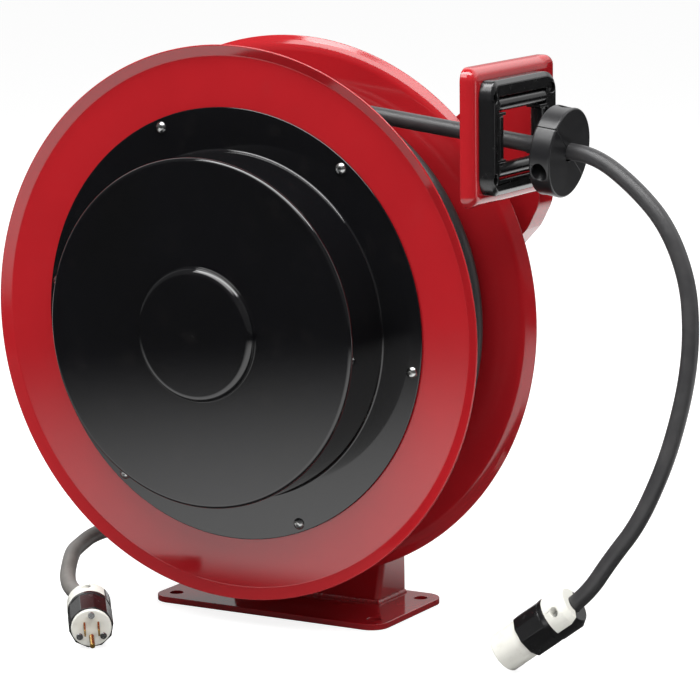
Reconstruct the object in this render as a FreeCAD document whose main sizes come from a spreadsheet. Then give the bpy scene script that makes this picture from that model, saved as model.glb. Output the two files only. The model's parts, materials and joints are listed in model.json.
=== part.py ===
import FreeCAD, Part
import math
import os
import Sketcher

V = FreeCAD.Vector
doc = FreeCAD.newDocument("cord_reel")


# Driving dimensions

class Size:
    """A length in mm that keeps both its value and the expression that gives it."""

    def __init__(self, value, text):
        self.value = float(value)
        self.text = text

    def _with(self, other, sign, flip=False):
        other = other if isinstance(other, Size) else Size(other, repr(float(other)))
        first, second = (other, self) if flip else (self, other)
        result = {"+": lambda a, b: a + b, "-": lambda a, b: a - b,
                  "*": lambda a, b: a * b, "/": lambda a, b: a / b}[sign](first.value, second.value)
        return Size(result, "(%s %s %s)" % (first.text, sign, second.text))

    def __add__(self, other):
        return self._with(other, "+")

    def __radd__(self, other):
        return self._with(other, "+", True)

    def __sub__(self, other):
        return self._with(other, "-")

    def __rsub__(self, other):
        return self._with(other, "-", True)

    def __mul__(self, other):
        return self._with(other, "*")

    def __rmul__(self, other):
        return self._with(other, "*", True)

    def __truediv__(self, other):
        return self._with(other, "/")

    def __neg__(self):
        return self._with(-1, "*")

    def __float__(self):
        return self.value


class SizeSheet:
    """The sheet of driving dimensions: one named cell for each."""

    def __init__(self, name):
        self.name = name
        self.sheet = doc.addObject("Spreadsheet::Sheet", name)
        self.rows = 0

    def add(self, alias, value):
        self.rows += 1
        self.sheet.set("A%d" % self.rows, alias)
        self.sheet.set("B%d" % self.rows, str(value))
        self.sheet.setAlias("B%d" % self.rows, alias)
        return Size(value, "%s.%s" % (self.name, alias))


sizes = SizeSheet("Sizes")
add = sizes.add

# Spool
axle_height = add("axle_height", 287)
spool_mid_y = add("spool_mid_y", -57)
spool_width = add("spool_width", 118)
disc_radius = add("disc_radius", 258)
lip_width = add("lip_width", 9.5)
lip_depth = add("lip_depth", 5.5)
disc_sheet = add("disc_sheet", 2)
disc_bore_radius = add("disc_bore_radius", 38)
lip_bend = add("lip_bend", 3)
drum_radius = add("drum_radius", 118)
drum_wall = add("drum_wall", 2.5)
cord_diameter = add("cord_diameter", 15)
winding_radius = add("winding_radius", 207.5)
winding_pitch = add("winding_pitch", 15.7)
running_gap = add("running_gap", 0.3)
core_gap = add("core_gap", 0.65)
fit_gap = add("fit_gap", 0.1)
hole_clearance = add("hole_clearance", 0.1)

# Shaft, bearings and hubs
shaft_radius = add("shaft_radius", 18)
shaft_bore_radius = add("shaft_bore_radius", 11)
bearing_radius = add("bearing_radius", 31)
bearing_width = add("bearing_width", 14)
hub_flange_radius = add("hub_flange_radius", 66)
hub_plate = add("hub_plate", 4)
hub_wall = add("hub_wall", 5)
hub_lip = add("hub_lip", 2)
seal_depth = add("seal_depth", 1)
bearing_clearance = add("bearing_clearance", 0.05)

# Power spring in its case
case_radius = add("case_radius", 106)
case_wall = add("case_wall", 2)
case_depth = add("case_depth", 64)
arbor_radius = add("arbor_radius", 27)
spring_strip = add("spring_strip", 1.6)

# Front cover
cover_flange_radius = add("cover_flange_radius", 201)
cover_drum_radius = add("cover_drum_radius", 161)
cover_height = add("cover_height", 59)
cover_sheet = add("cover_sheet", 1.5)
cover_shoulder = add("cover_shoulder", 12)
cover_boss_radius = add("cover_boss_radius", 62)
cover_boss_height = add("cover_boss_height", 7)
gasket_thickness = add("gasket_thickness", 1)
cover_screw_circle = add("cover_screw_circle", 193)
cover_screw_angle = add("cover_screw_angle", 111.5)
cover_screw_radius = add("cover_screw_radius", 2.5)
cover_screw_head = add("cover_screw_head", 4)
cover_foot_bend = add("cover_foot_bend", 3)
boss_edge = add("boss_edge", 4)
boss_foot_bend = add("boss_foot_bend", 2.5)
cover_screw_count = 6

# Collector rings and brushes
ring_radius = add("ring_radius", 34)
ring_width = add("ring_width", 5)
ring_pitch = add("ring_pitch", 9)
ring_depth = add("ring_depth", 4)
ring_count = 3

# Frame
base_length = add("base_length", 254)
base_width = add("base_width", 130)
base_plate_thickness = add("base_plate_thickness", 6)
base_corner = add("base_corner", 18)
base_hole_radius = add("base_hole_radius", 6.5)
base_hole_spacing_x = add("base_hole_spacing_x", 220)
base_hole_spacing_y = add("base_hole_spacing_y", 90)
frame_sheet = add("frame_sheet", 4)
pedestal_width = add("pedestal_width", 168)
pedestal_top_width = add("pedestal_top_width", 140)
web_gap = add("web_gap", 32)
foot_reach = add("foot_reach", 26)
pedestal_depth = add("pedestal_depth", 27)
pedestal_bend_height = add("pedestal_bend_height", 95)
pedestal_rise = add("pedestal_rise", 111)
pedestal_fold = add("pedestal_fold", 6)
shoulder_low = add("shoulder_low", 70)
shoulder_high = add("shoulder_high", 25)
arm_half_width = add("arm_half_width", 74)
arm_foot = add("arm_foot", 66)
arm_shoulder = add("arm_shoulder", 104)
arm_corner = add("arm_corner", 16)
lobe_drop = add("lobe_drop", 34)
lobe_slope = add("lobe_slope", 28)
arm_flange_depth = add("arm_flange_depth", 24)
frame_bolt_radius = add("frame_bolt_radius", 5)
frame_bolt_circle = add("frame_bolt_circle", 52)
frame_nut_radius = add("frame_nut_radius", 9.2)
frame_nut_height = add("frame_nut_height", 8)

# Cord guide
guide_plate_x = add("guide_plate_x", 260)
guide_rise = add("guide_rise", 184)
guide_plate_height = add("guide_plate_height", 124)
guide_front_reach = add("guide_front_reach", 7)
guide_plate_return = add("guide_plate_return", 14)
guide_frame_width = add("guide_frame_width", 122)
guide_frame_height = add("guide_frame_height", 97)
guide_frame_depth = add("guide_frame_depth", 16)
guide_frame_corner = add("guide_frame_corner", 15)
guide_frame_chamfer = add("guide_frame_chamfer", 3.5)
roller_radius = add("roller_radius", 6.5)
roller_pin_radius = add("roller_pin_radius", 2.5)
roller_rise = add("roller_rise", 29)
roller_spread = add("roller_spread", 40.5)
long_roller = add("long_roller", 90)
short_roller = add("short_roller", 38)
roller_end_round = add("roller_end_round", 1.2)

# Bumper stop on the cord
bumper_radius = add("bumper_radius", 40)
bumper_thickness = add("bumper_thickness", 20)
bumper_x = add("bumper_x", 300)
bumper_edge = add("bumper_edge", 2)
bumper_split = add("bumper_split", 0.3)
bumper_screw_spread = add("bumper_screw_spread", 20)
bumper_screw_radius = add("bumper_screw_radius", 2.5)
bumper_recess_radius = add("bumper_recess_radius", 7.2)
bumper_web = add("bumper_web", 14)

# Ratchet and pawl
ratchet_radius = add("ratchet_radius", 80)
ratchet_thickness = add("ratchet_thickness", 5)
ratchet_teeth = add("ratchet_teeth", 12)
notch_radius = add("notch_radius", 8.5)
pawl_tip_radius = add("pawl_tip_radius", 6)
pawl_tip_angle = add("pawl_tip_angle", 95)
pawl_pivot_angle = add("pawl_pivot_angle", 125)
pawl_pivot_circle = add("pawl_pivot_circle", 98)
pawl_pin_radius = add("pawl_pin_radius", 4)
pawl_lift = add("pawl_lift", 8)

# Plug and connector
fitting_face_radius = add("fitting_face_radius", 18.5)
fitting_sleeve_radius = add("fitting_sleeve_radius", 20.3)
fitting_clamp_length = add("fitting_clamp_length", 22)
fitting_collar_length = add("fitting_collar_length", 6)
plug_length = add("plug_length", 60)
connector_length = add("connector_length", 84)
connector_nose_length = add("connector_nose_length", 30)
gland_radius = add("gland_radius", 17)

# Places worked out from the driving dimensions

front_rim_y = spool_mid_y - spool_width / 2
rear_rim_y = spool_mid_y + spool_width / 2
front_face_y = front_rim_y + lip_depth
rear_face_y = rear_rim_y - lip_depth
front_inner_y = front_face_y + disc_sheet
rear_inner_y = rear_face_y - disc_sheet
cord_radius = cord_diameter / 2
pedestal_web_y = rear_rim_y + web_gap
pedestal_foot_y = pedestal_web_y - foot_reach
pedestal_back_y = pedestal_web_y + pedestal_depth
pedestal_height = axle_height + pedestal_rise
guide_middle_z = axle_height + guide_rise
guide_plate_front_y = front_rim_y - guide_front_reach
parts_made = []


# Helpers

def bind(item, **properties):
    """Set properties and keep those given as a Size tied to the sheet."""
    for name, value in properties.items():
        path = name.replace("__", ".")
        if isinstance(value, Size):
            item.setExpression(path, value.text)
        else:
            setattr(item, name, value)


def place(item, x=0, y=0, z=0, rotation=None):
    """Give an item its Placement, tied to the sheet where a coordinate is a Size."""
    item.Placement = FreeCAD.Placement(V(float(x), float(y), float(z)), rotation or FreeCAD.Rotation())
    for axis, value in (("x", x), ("y", y), ("z", z)):
        if isinstance(value, Size):
            item.setExpression("Placement.Base.%s" % axis, value.text)


def keep(item, label):
    """Name a finished sub-part; its label is its file's name."""
    item.Label = label
    parts_made.append(item)
    return item


def plane_of(body, role):
    return [plane for plane in body.Origin.OriginFeatures if plane.Role == role][0]


def sketch_on(body, role, name):
    sketch = body.newObject("Sketcher::SketchObject", name)
    sketch.AttachmentSupport = [(plane_of(body, role), "")]
    sketch.MapMode = "FlatFace"
    return sketch


def pin_point(sketch, index, point, x, y):
    """Tie one point of a sketch to two distances from its origin."""
    for kind, value in (("DistanceX", x), ("DistanceY", y)):
        row = sketch.addConstraint(Sketcher.Constraint(kind, -1, 1, index, point, float(value)))
        if isinstance(value, Size):
            sketch.setExpression("Constraints[%d]" % row, value.text)


def draw_outline(sketch, corners):
    """Closed polygon whose corners are tied to the sheet."""
    first = sketch.GeometryCount
    count = len(corners)
    for i in range(count):
        start = V(float(corners[i][0]), float(corners[i][1]), 0)
        end = V(float(corners[(i + 1) % count][0]), float(corners[(i + 1) % count][1]), 0)
        sketch.addGeometry(Part.LineSegment(start, end), False)
    for i in range(count):
        following = first + (i + 1) % count
        sketch.addConstraint(Sketcher.Constraint("Coincident", first + i, 2, following, 1))
    for i in range(count):
        pin_point(sketch, first + i, 1, corners[i][0], corners[i][1])


def draw_circle(sketch, x, y, radius):
    row = sketch.addGeometry(Part.Circle(V(float(x), float(y), 0), V(0, 0, 1), float(radius)), False)
    pin_point(sketch, row, 3, x, y)
    ring = sketch.addConstraint(Sketcher.Constraint("Radius", row, float(radius)))
    if isinstance(radius, Size):
        sketch.setExpression("Constraints[%d]" % ring, radius.text)


def feature(body, kind, name, sketch, **properties):
    made = body.newObject("PartDesign::" + kind, name)
    made.Profile = sketch
    bind(made, **properties)
    body.Tip = made
    return made


def turned(name, profile, on_axle=True):
    """Body revolved about its own Y axis; profile points are (radius, y)."""
    body = doc.addObject("PartDesign::Body", name)
    sketch = sketch_on(body, "XY_Plane", name + "_profile")
    draw_outline(sketch, profile)
    turn = body.newObject("PartDesign::Revolution", name + "_turn")
    turn.Profile = sketch
    turn.ReferenceAxis = (sketch, ["V_Axis"])
    turn.Angle = 360
    body.Tip = turn
    if on_axle:
        place(body, 0, 0, axle_height)
    return body


def rounded(body, name, radius, wanted, kind="Fillet"):
    """Round or chamfer the edges of a body's last feature that the test picks."""
    doc.recompute()
    last = body.Tip
    names = ["Edge%d" % (i + 1) for i, edge in enumerate(last.Shape.Edges) if wanted(edge)]
    if not names:
        raise ValueError("no edge found for " + name)
    made = body.newObject("PartDesign::" + kind, name)
    made.Base = (last, names)
    bind(made, **{"Radius" if kind == "Fillet" else "Size": radius})
    body.Tip = made
    return made


def ring_edge(radius, y):
    """Test for a circular edge about the body's Y axis."""
    def test(edge):
        curve = edge.Curve
        if not isinstance(curve, Part.Circle):
            return False
        return abs(curve.Radius - float(radius)) < 0.01 and abs(curve.Center.y - float(y)) < 0.01
    return test


def along(axis, *ranges):
    """Test for straight edges that run along one axis, at given places across it."""
    def test(edge):
        if not isinstance(edge.Curve, Part.Line):
            return False
        direction = edge.Curve.Direction
        if abs(abs(getattr(direction, axis)) - 1) > 1e-6:
            return False
        middle = edge.CenterOfMass
        return all(low <= getattr(middle, across) <= high for across, low, high in ranges)
    return test


def cylinder(name, radius, length, x, y, z, direction=(0, 1, 0)):
    item = doc.addObject("Part::Cylinder", name)
    bind(item, Radius=radius, Height=length)
    place(item, x, y, z, FreeCAD.Rotation(V(0, 0, 1), V(*direction)))
    return item


def block(name, length, width, height, x, y, z):
    """Box given by its size and its lowest corner."""
    item = doc.addObject("Part::Box", name)
    bind(item, Length=length, Width=width, Height=height)
    place(item, x, y, z)
    return item


def fused(name, items):
    made = doc.addObject("Part::MultiFuse", name)
    made.Shapes = items
    made.Refine = True
    return made


def together(name, items):
    """Several separate solids in one sub-part."""
    made = doc.addObject("Part::Compound", name)
    made.Links = items
    return made


def cut(name, base, tool):
    made = doc.addObject("Part::Cut", name)
    made.Base = base
    made.Tool = tool
    return made


def shaped(name, shape):
    made = doc.addObject("Part::Feature", name)
    made.Shape = shape
    return made


def polar(radius, degrees):
    """Point (x, z) about the axle."""
    turn = math.radians(float(degrees))
    return float(radius) * math.cos(turn), float(radius) * math.sin(turn)


def around(count, start=0):
    return [float(start) + 360 * i / count for i in range(count)]


# Discs, drum and hubs

lip_root = disc_radius - lip_width - disc_sheet / 2
lip_root_inside = disc_radius - lip_width + disc_sheet / 2
lip_bend_inside = lip_bend + disc_sheet * 0.75


def disc_profile(face_y, rim_y, inner_y):
    """Flat web with a flared lip: (radius, y) round the sheet."""
    outward = 1 if float(rim_y) > float(face_y) else -1
    return [(disc_bore_radius, inner_y), (lip_root_inside, inner_y), (disc_radius, rim_y - outward * disc_sheet),
            (disc_radius, rim_y), (lip_root, face_y), (disc_bore_radius, face_y)]


front_disc = turned("FrontDisc", disc_profile(front_face_y, front_rim_y, front_inner_y))
rounded(front_disc, "FrontDiscBend", lip_bend, ring_edge(lip_root, front_face_y))
rounded(front_disc, "FrontDiscBack", lip_bend_inside, ring_edge(lip_root_inside, front_inner_y))
keep(front_disc, "front_disc")

rear_disc = turned("RearDisc", disc_profile(rear_face_y, rear_rim_y, rear_inner_y))
rounded(rear_disc, "RearDiscBend", lip_bend, ring_edge(lip_root, rear_face_y))
rounded(rear_disc, "RearDiscBack", lip_bend_inside, ring_edge(lip_root_inside, rear_inner_y))
keep(rear_disc, "rear_disc")

drum = turned("Drum", [(drum_radius - drum_wall, front_inner_y), (drum_radius, front_inner_y),
                       (drum_radius, rear_inner_y), (drum_radius - drum_wall, rear_inner_y)])
keep(drum, "drum")


def hub(name, face_y, outward):
    """Flanged bearing hub on the outer face of a disc; outward is -1 in front and 1 behind."""
    plate_y = face_y + outward * hub_plate
    end_y = face_y + outward * (hub_plate + bearing_width)
    lip_y = end_y + outward * hub_lip
    mouth = shaft_radius + hub_lip + 1
    wall_radius = bearing_radius + hub_wall
    return turned(name, [(bearing_radius, face_y), (hub_flange_radius, face_y), (hub_flange_radius, plate_y),
                         (wall_radius, plate_y), (wall_radius, lip_y), (mouth, lip_y), (mouth, end_y),
                         (bearing_radius, end_y)])


def bearing(name, face_y, outward):
    """Sealed ball bearing as one ring with a groove on each side where the seals lie."""
    near = face_y + outward * hub_plate
    far = near + outward * bearing_width
    race = (bearing_radius - shaft_radius) / 4
    seal_in = shaft_radius + race
    seal_out = bearing_radius - race
    near_seal = near + outward * seal_depth
    far_seal = far - outward * seal_depth
    inner = shaft_radius + bearing_clearance
    return turned(name, [(inner, near), (seal_in, near), (seal_in, near_seal), (seal_out, near_seal),
                         (seal_out, near), (bearing_radius, near), (bearing_radius, far), (seal_out, far),
                         (seal_out, far_seal), (seal_in, far_seal), (seal_in, far), (inner, far)])


keep(hub("FrontHub", front_face_y, -1), "front_hub")
keep(hub("RearHub", rear_face_y, 1), "rear_hub")
keep(bearing("FrontBearing", front_face_y, -1), "front_bearing")
keep(bearing("RearBearing", rear_face_y, 1), "rear_bearing")

# Tie rods between the drum and the spring case pull the two discs onto the drum

tie_circle = (case_radius + drum_radius - drum_wall) / 2
tie_radius = add("tie_radius", 3)
tie_count = 6
tie_start = 30
tie_nut_radius = add("tie_nut_radius", 5.5)
tie_nut_height = add("tie_nut_height", 3)
tie_rods = []
for turn in around(tie_count, tie_start):
    x, z = polar(tie_circle, turn)
    rod = cylinder("TieRod", tie_radius, rear_face_y - front_face_y, x, front_face_y, axle_height + z)
    head = cylinder("TieHead", tie_nut_radius, tie_nut_height, x, front_face_y - tie_nut_height, axle_height + z)
    nut = cylinder("TieNut", tie_nut_radius, tie_nut_height, x, rear_face_y, axle_height + z)
    tie_rods.append(fused("Tie", [rod, head, nut]))
keep(together("TieRods", tie_rods), "tie_rods")


def with_round_holes(body, name, circle, count, start, radius):
    """Holes along Y on a circle about the axle."""
    sketch = sketch_on(body, "XZ_Plane", name + "_outline")
    for turn in around(count, start):
        x, z = polar(circle, turn)
        draw_circle(sketch, x, z, radius)
    hole = feature(body, "Pocket", name, sketch)
    hole.Type = "ThroughAll"
    hole.Midplane = True
    return hole


for body in (front_disc, rear_disc):
    with_round_holes(body, body.Name + "TieHoles", tie_circle, tie_count, tie_start, tie_radius + hole_clearance)

# Ratchet wheel on the rear hub, and the rivets that hold it and both hubs to the discs

ratchet_y = rear_face_y + hub_plate
ratchet_bore = bearing_radius + hub_wall
ratchet_blank = turned("RatchetBlank", [
    (ratchet_bore, ratchet_y), (ratchet_radius, ratchet_y),
    (ratchet_radius, ratchet_y + ratchet_thickness), (ratchet_bore, ratchet_y + ratchet_thickness)])
notches = []
for turn in around(int(float(ratchet_teeth)), pawl_tip_angle):
    x, z = polar(ratchet_radius, turn)
    notches.append(cylinder("RatchetNotch", notch_radius, ratchet_thickness + 2, x, ratchet_y - 1,
                            axle_height + z))
rivet_inset = add("rivet_inset", 10)
rivet_circle = hub_flange_radius - rivet_inset
rivet_radius = add("rivet_radius", 3)
rivet_head_radius = add("rivet_head_radius", 5)
rivet_head = add("rivet_head", 2.5)
rivets = []
for turn in around(tie_count, tie_start):
    x, z = polar(rivet_circle, turn)
    notches.append(cylinder("RatchetRivetHole", rivet_radius + hole_clearance, ratchet_thickness + 2, x,
                            ratchet_y - 1, axle_height + z))
    for inner_y, outer_y, label in ((front_inner_y, front_face_y - hub_plate, "Front"),
                                    (rear_inner_y, ratchet_y + ratchet_thickness, "Rear")):
        low_y, high_y = (outer_y, inner_y) if float(outer_y) < float(inner_y) else (inner_y, outer_y)
        shank = cylinder(label + "RivetShank", rivet_radius, high_y - low_y, x, low_y, axle_height + z)
        low_head = cylinder(label + "RivetHead", rivet_head_radius, rivet_head, x, low_y - rivet_head,
                            axle_height + z)
        high_head = cylinder(label + "RivetTail", rivet_head_radius, rivet_head, x, high_y, axle_height + z)
        rivets.append(fused(label + "Rivet", [shank, low_head, high_head]))
keep(cut("RatchetWheel", ratchet_blank, fused("RatchetCuts", notches)), "ratchet_wheel")
keep(together("HubRivets", rivets), "hub_rivets")
for label in ("front_disc", "rear_disc", "front_hub", "rear_hub"):
    body = [item for item in parts_made if item.Label == label][0]
    with_round_holes(body, body.Name + "RivetHoles", rivet_circle, tie_count, tie_start,
                     rivet_radius + hole_clearance)

# Power spring, its case and the arbor that holds its inner end

case_front_y = spool_mid_y - case_depth / 2
case_rear_y = spool_mid_y + case_depth / 2
case_mouth = arbor_radius + 2
spring_case = turned("SpringCase", [
    (case_mouth, case_front_y), (case_radius, case_front_y), (case_radius, case_rear_y),
    (case_radius - case_wall, case_rear_y), (case_radius - case_wall, case_front_y + case_wall),
    (case_mouth, case_front_y + case_wall)])
keep(spring_case, "spring_case")
case_lid = turned("CaseLid", [
    (case_mouth, case_rear_y), (drum_radius - drum_wall, case_rear_y),
    (drum_radius - drum_wall, case_rear_y + case_wall), (case_mouth, case_rear_y + case_wall)])
with_round_holes(case_lid, "CaseLidTieHoles", tie_circle, tie_count, tie_start, tie_radius + hole_clearance)
keep(case_lid, "case_lid")
arbor = turned("SpringArbor", [
    (shaft_radius, case_front_y), (arbor_radius, case_front_y), (arbor_radius, case_rear_y + case_wall),
    (shaft_radius, case_rear_y + case_wall)])
keep(arbor, "spring_arbor")


def spiral_strip(inner, outer, turns, strip, low_y, high_y):
    """Flat strip wound as a spiral, its section set out step by step along the curve."""
    steps = 20 * turns
    inside = []
    outside = []
    for i in range(steps + 1):
        turn = 2 * math.pi * i / 20
        radius = inner + (outer - inner) * i / steps
        inside.append(V(radius * math.cos(turn), low_y, radius * math.sin(turn)))
        outside.append(V((radius + strip) * math.cos(turn), low_y, (radius + strip) * math.sin(turn)))
    path = inside + outside[::-1]
    face = Part.Face(Part.makePolygon(path + path[:1]))
    return face.extrude(V(0, high_y - low_y, 0))


spring_turns = 9
spring_outer = float(case_radius - case_wall - spring_strip - running_gap)
power_spring = shaped("PowerSpring", spiral_strip(
    float(arbor_radius) + 2.5, spring_outer, spring_turns, float(spring_strip),
    float(case_front_y + case_wall) + 1, float(case_rear_y) - 1))
place(power_spring, 0, 0, axle_height)
keep(power_spring, "power_spring")

# Fixed hollow shaft with its front circlip and rear nut

collector_gap = add("collector_gap", 4)
collector_y = front_face_y - (hub_plate + bearing_width + hub_lip + collector_gap)
core_length = ring_count * ring_pitch
shaft_front_y = collector_y - core_length - 3
shaft_overhang = add("shaft_overhang", 12)
shaft_rear_y = pedestal_back_y + shaft_overhang
shaft = turned("MainShaft", [(shaft_bore_radius, shaft_front_y), (shaft_radius, shaft_front_y),
                             (shaft_radius, shaft_rear_y), (shaft_bore_radius, shaft_rear_y)])
keep(shaft, "main_shaft")
arm_front_y = pedestal_web_y - frame_sheet
collar_wall = add("collar_wall", 10)
collar_length = add("collar_length", 8)
collar_radius = shaft_radius + collar_wall
collar_front_y = arm_front_y - collar_length
collar = turned("ShaftCollar", [(shaft_radius, collar_front_y), (collar_radius, collar_front_y),
                                (collar_radius, arm_front_y), (shaft_radius, arm_front_y)])
keep(collar, "shaft_collar")
nut_y = pedestal_web_y + frame_sheet
shaft_nut_height = add("shaft_nut_height", 12)
shaft_nut_wall = add("shaft_nut_wall", 13)
nut_blank = doc.addObject("Part::Prism", "ShaftNutBlank")
bind(nut_blank, Polygon=6, Circumradius=shaft_radius + shaft_nut_wall, Height=shaft_nut_height)
place(nut_blank, 0, nut_y, axle_height, FreeCAD.Rotation(V(0, 0, 1), V(0, 1, 0)))
nut_bore = cylinder("ShaftNutBore", shaft_radius, shaft_nut_height, 0, nut_y, axle_height)
keep(cut("ShaftNut", nut_blank, nut_bore), "shaft_nut")

# Collector: insulating core and three rings on the shaft, brushes on the front disc

ring_bore = ring_radius - ring_depth
core_end_y = collector_y - core_length
ring_core = turned("RingCore", [(shaft_radius, core_end_y), (ring_bore, core_end_y), (ring_bore, collector_y),
                                (shaft_radius, collector_y)])
keep(ring_core, "ring_core")
rings = []
for i in range(ring_count):
    low_y = collector_y - (i + 0.5) * ring_pitch - ring_width / 2
    high_y = low_y + ring_width
    rings.append(turned("Ring%d" % (i + 1), [
        (ring_bore, low_y), (ring_radius, low_y), (ring_radius, high_y), (ring_bore, high_y)]))
keep(together("SlipRings", rings), "slip_rings")

foot_x = ring_radius + 10
foot_length = add("foot_length", 18)
foot_thickness = add("foot_thickness", 4)
post_thickness = add("post_thickness", 8)
holder_width = add("holder_width", 26)
brush_width = add("brush_width", 8)
brush_thickness = add("brush_thickness", 3)
post_x = foot_x + foot_length - post_thickness - 2
hub_front_y = front_face_y - hub_plate
holder_foot = block("HolderFoot", foot_length, foot_thickness, holder_width, foot_x,
                    hub_front_y - foot_thickness, axle_height - holder_width / 2)
holder_post = block("HolderPost", post_thickness, hub_front_y - core_end_y - foot_thickness / 2,
                    holder_width - 2, post_x, core_end_y, axle_height - holder_width / 2 + 1)
keep(fused("BrushHolder", [holder_foot, holder_post]), "brush_holder")
brush_arms = []
for i in range(ring_count):
    ring_y = collector_y - (i + 0.5) * ring_pitch
    start_x = ring_radius + running_gap
    brush_arms.append(block("Brush%d" % (i + 1), post_x - start_x, brush_thickness, brush_width, start_x,
                            ring_y - brush_thickness / 2, axle_height - brush_width / 2))
keep(together("Brushes", brush_arms), "brushes")

# Black front cover with its gasket and six screws

flange_front_y = front_face_y - gasket_thickness - cover_sheet
flange_back_y = front_face_y - gasket_thickness
top_y = front_face_y - cover_height
boss_y = top_y - cover_boss_height
cover = turned("FrontCover", [
    (cover_flange_radius, flange_back_y), (cover_drum_radius - cover_sheet, flange_back_y),
    (cover_drum_radius - cover_sheet, top_y + cover_sheet), (cover_boss_radius - cover_sheet, top_y + cover_sheet),
    (cover_boss_radius - cover_sheet, boss_y + cover_sheet), (0, boss_y + cover_sheet), (0, boss_y),
    (cover_boss_radius, boss_y), (cover_boss_radius, top_y), (cover_drum_radius, top_y),
    (cover_drum_radius, flange_front_y), (cover_flange_radius, flange_front_y)])
rounded(cover, "CoverShoulder", cover_shoulder, ring_edge(cover_drum_radius, top_y))
rounded(cover, "CoverShoulderInside", cover_shoulder - cover_sheet,
        ring_edge(cover_drum_radius - cover_sheet, top_y + cover_sheet))
rounded(cover, "CoverBossEdge", boss_edge, ring_edge(cover_boss_radius, boss_y))
rounded(cover, "CoverBossFoot", boss_foot_bend, ring_edge(cover_boss_radius, top_y))
rounded(cover, "CoverFoot", cover_foot_bend, ring_edge(cover_drum_radius, flange_front_y))
keep(cover, "front_cover")
gasket_in = cover_drum_radius + 4
gasket_out = cover_flange_radius - 2
gasket = turned("CoverGasket", [(gasket_in, flange_back_y), (gasket_out, flange_back_y),
                                (gasket_out, front_face_y), (gasket_in, front_face_y)])
keep(gasket, "cover_gasket")
for body in (cover, front_disc, gasket):
    with_round_holes(body, body.Name + "ScrewHoles", cover_screw_circle, cover_screw_count, cover_screw_angle,
                     cover_screw_radius + hole_clearance)


def hex_screw(name, x, y, z, shank_radius, head_radius, head_height, length, direction=(0, 1, 0)):
    """Hexagon screw: head stands off the face at (x, y, z), shank runs along direction."""
    forward = V(*direction)
    head = doc.addObject("Part::Prism", name + "Head")
    bind(head, Polygon=6, Circumradius=head_radius, Height=head_height)
    back = forward * -float(head_height)
    place(head, x + back.x, y + back.y, z + back.z, FreeCAD.Rotation(V(0, 0, 1), forward))
    shank = cylinder(name + "Shank", shank_radius, length, x, y, z, direction)
    return fused(name, [head, shank])


cover_screws = []
for turn in around(cover_screw_count, cover_screw_angle):
    x, z = polar(cover_screw_circle, turn)
    cover_screws.append(hex_screw("CoverScrew", x, flange_front_y, axle_height + z, cover_screw_radius,
                                  cover_screw_radius + 2.7, cover_screw_head, front_inner_y - flange_front_y))
keep(together("CoverScrews", cover_screws), "cover_screws")

# Base plate and pedestal

base = doc.addObject("PartDesign::Body", "BasePlate")
base_sketch = sketch_on(base, "XY_Plane", "BaseOutline")
half_length = base_length / 2
half_width = base_width / 2
draw_outline(base_sketch, [(-half_length, -half_width), (half_length, -half_width),
                           (half_length, half_width), (-half_length, half_width)])
feature(base, "Pad", "BasePad", base_sketch, Length=base_plate_thickness)
rounded(base, "BaseCorners", base_corner, along("z"))
base_holes = sketch_on(base, "XY_Plane", "BaseHoleOutline")
for side_x in (-0.5, 0.5):
    for side_y in (-0.5, 0.5):
        draw_circle(base_holes, base_hole_spacing_x * side_x, base_hole_spacing_y * side_y, base_hole_radius)
base_pocket = feature(base, "Pocket", "BaseHoles", base_holes)
base_pocket.Type = "ThroughAll"
base_pocket.Midplane = True
keep(base, "base_plate")

pedestal = doc.addObject("PartDesign::Body", "Pedestal")
side = sketch_on(pedestal, "YZ_Plane", "PedestalSide")
draw_outline(side, [(pedestal_foot_y, base_plate_thickness), (pedestal_back_y, base_plate_thickness),
                    (pedestal_back_y, pedestal_height), (pedestal_web_y, pedestal_height),
                    (pedestal_web_y, pedestal_bend_height)])
feature(pedestal, "Pad", "PedestalBlock", side, Length=pedestal_width, Midplane=True)
inner_side = sketch_on(pedestal, "YZ_Plane", "PedestalInside")
draw_outline(inner_side, [(pedestal_foot_y + frame_sheet, base_plate_thickness - 1),
                          (pedestal_back_y + 1, base_plate_thickness - 1),
                          (pedestal_back_y + 1, pedestal_height + 1),
                          (pedestal_web_y + frame_sheet, pedestal_height + 1),
                          (pedestal_web_y + frame_sheet, pedestal_bend_height)])
feature(pedestal, "Pocket", "PedestalHollow", inner_side, Length=pedestal_width - 2 * frame_sheet, Midplane=True)
front = sketch_on(pedestal, "XZ_Plane", "PedestalFrontTrim")
half_top = pedestal_top_width / 2
half_foot = pedestal_width / 2
for sign in (-1, 1):
    draw_outline(front, [(sign * half_top, pedestal_height + 1), (sign * (half_foot + 1), pedestal_height + 1),
                         (sign * (half_foot + 1), pedestal_height - shoulder_low),
                         (sign * half_top, pedestal_height - shoulder_high)])
draw_circle(front, 0, axle_height, shaft_radius + hole_clearance)
trim = feature(pedestal, "Pocket", "PedestalTrim", front)
trim.Type = "ThroughAll"
trim.Midplane = True
rounded(pedestal, "PedestalFrontBends", pedestal_fold, lambda edge: isinstance(edge.Curve, Part.Line)
        and abs(abs(edge.CenterOfMass.x) - float(half_foot)) < 0.1
        and edge.CenterOfMass.y < float(pedestal_web_y) + 0.1
        and edge.Length > 60 and abs(edge.Curve.Direction.x) < 0.01)
keep(pedestal, "pedestal")

# Guide arm: flanged plate behind the rear disc, bent forward into the guide plate

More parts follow.
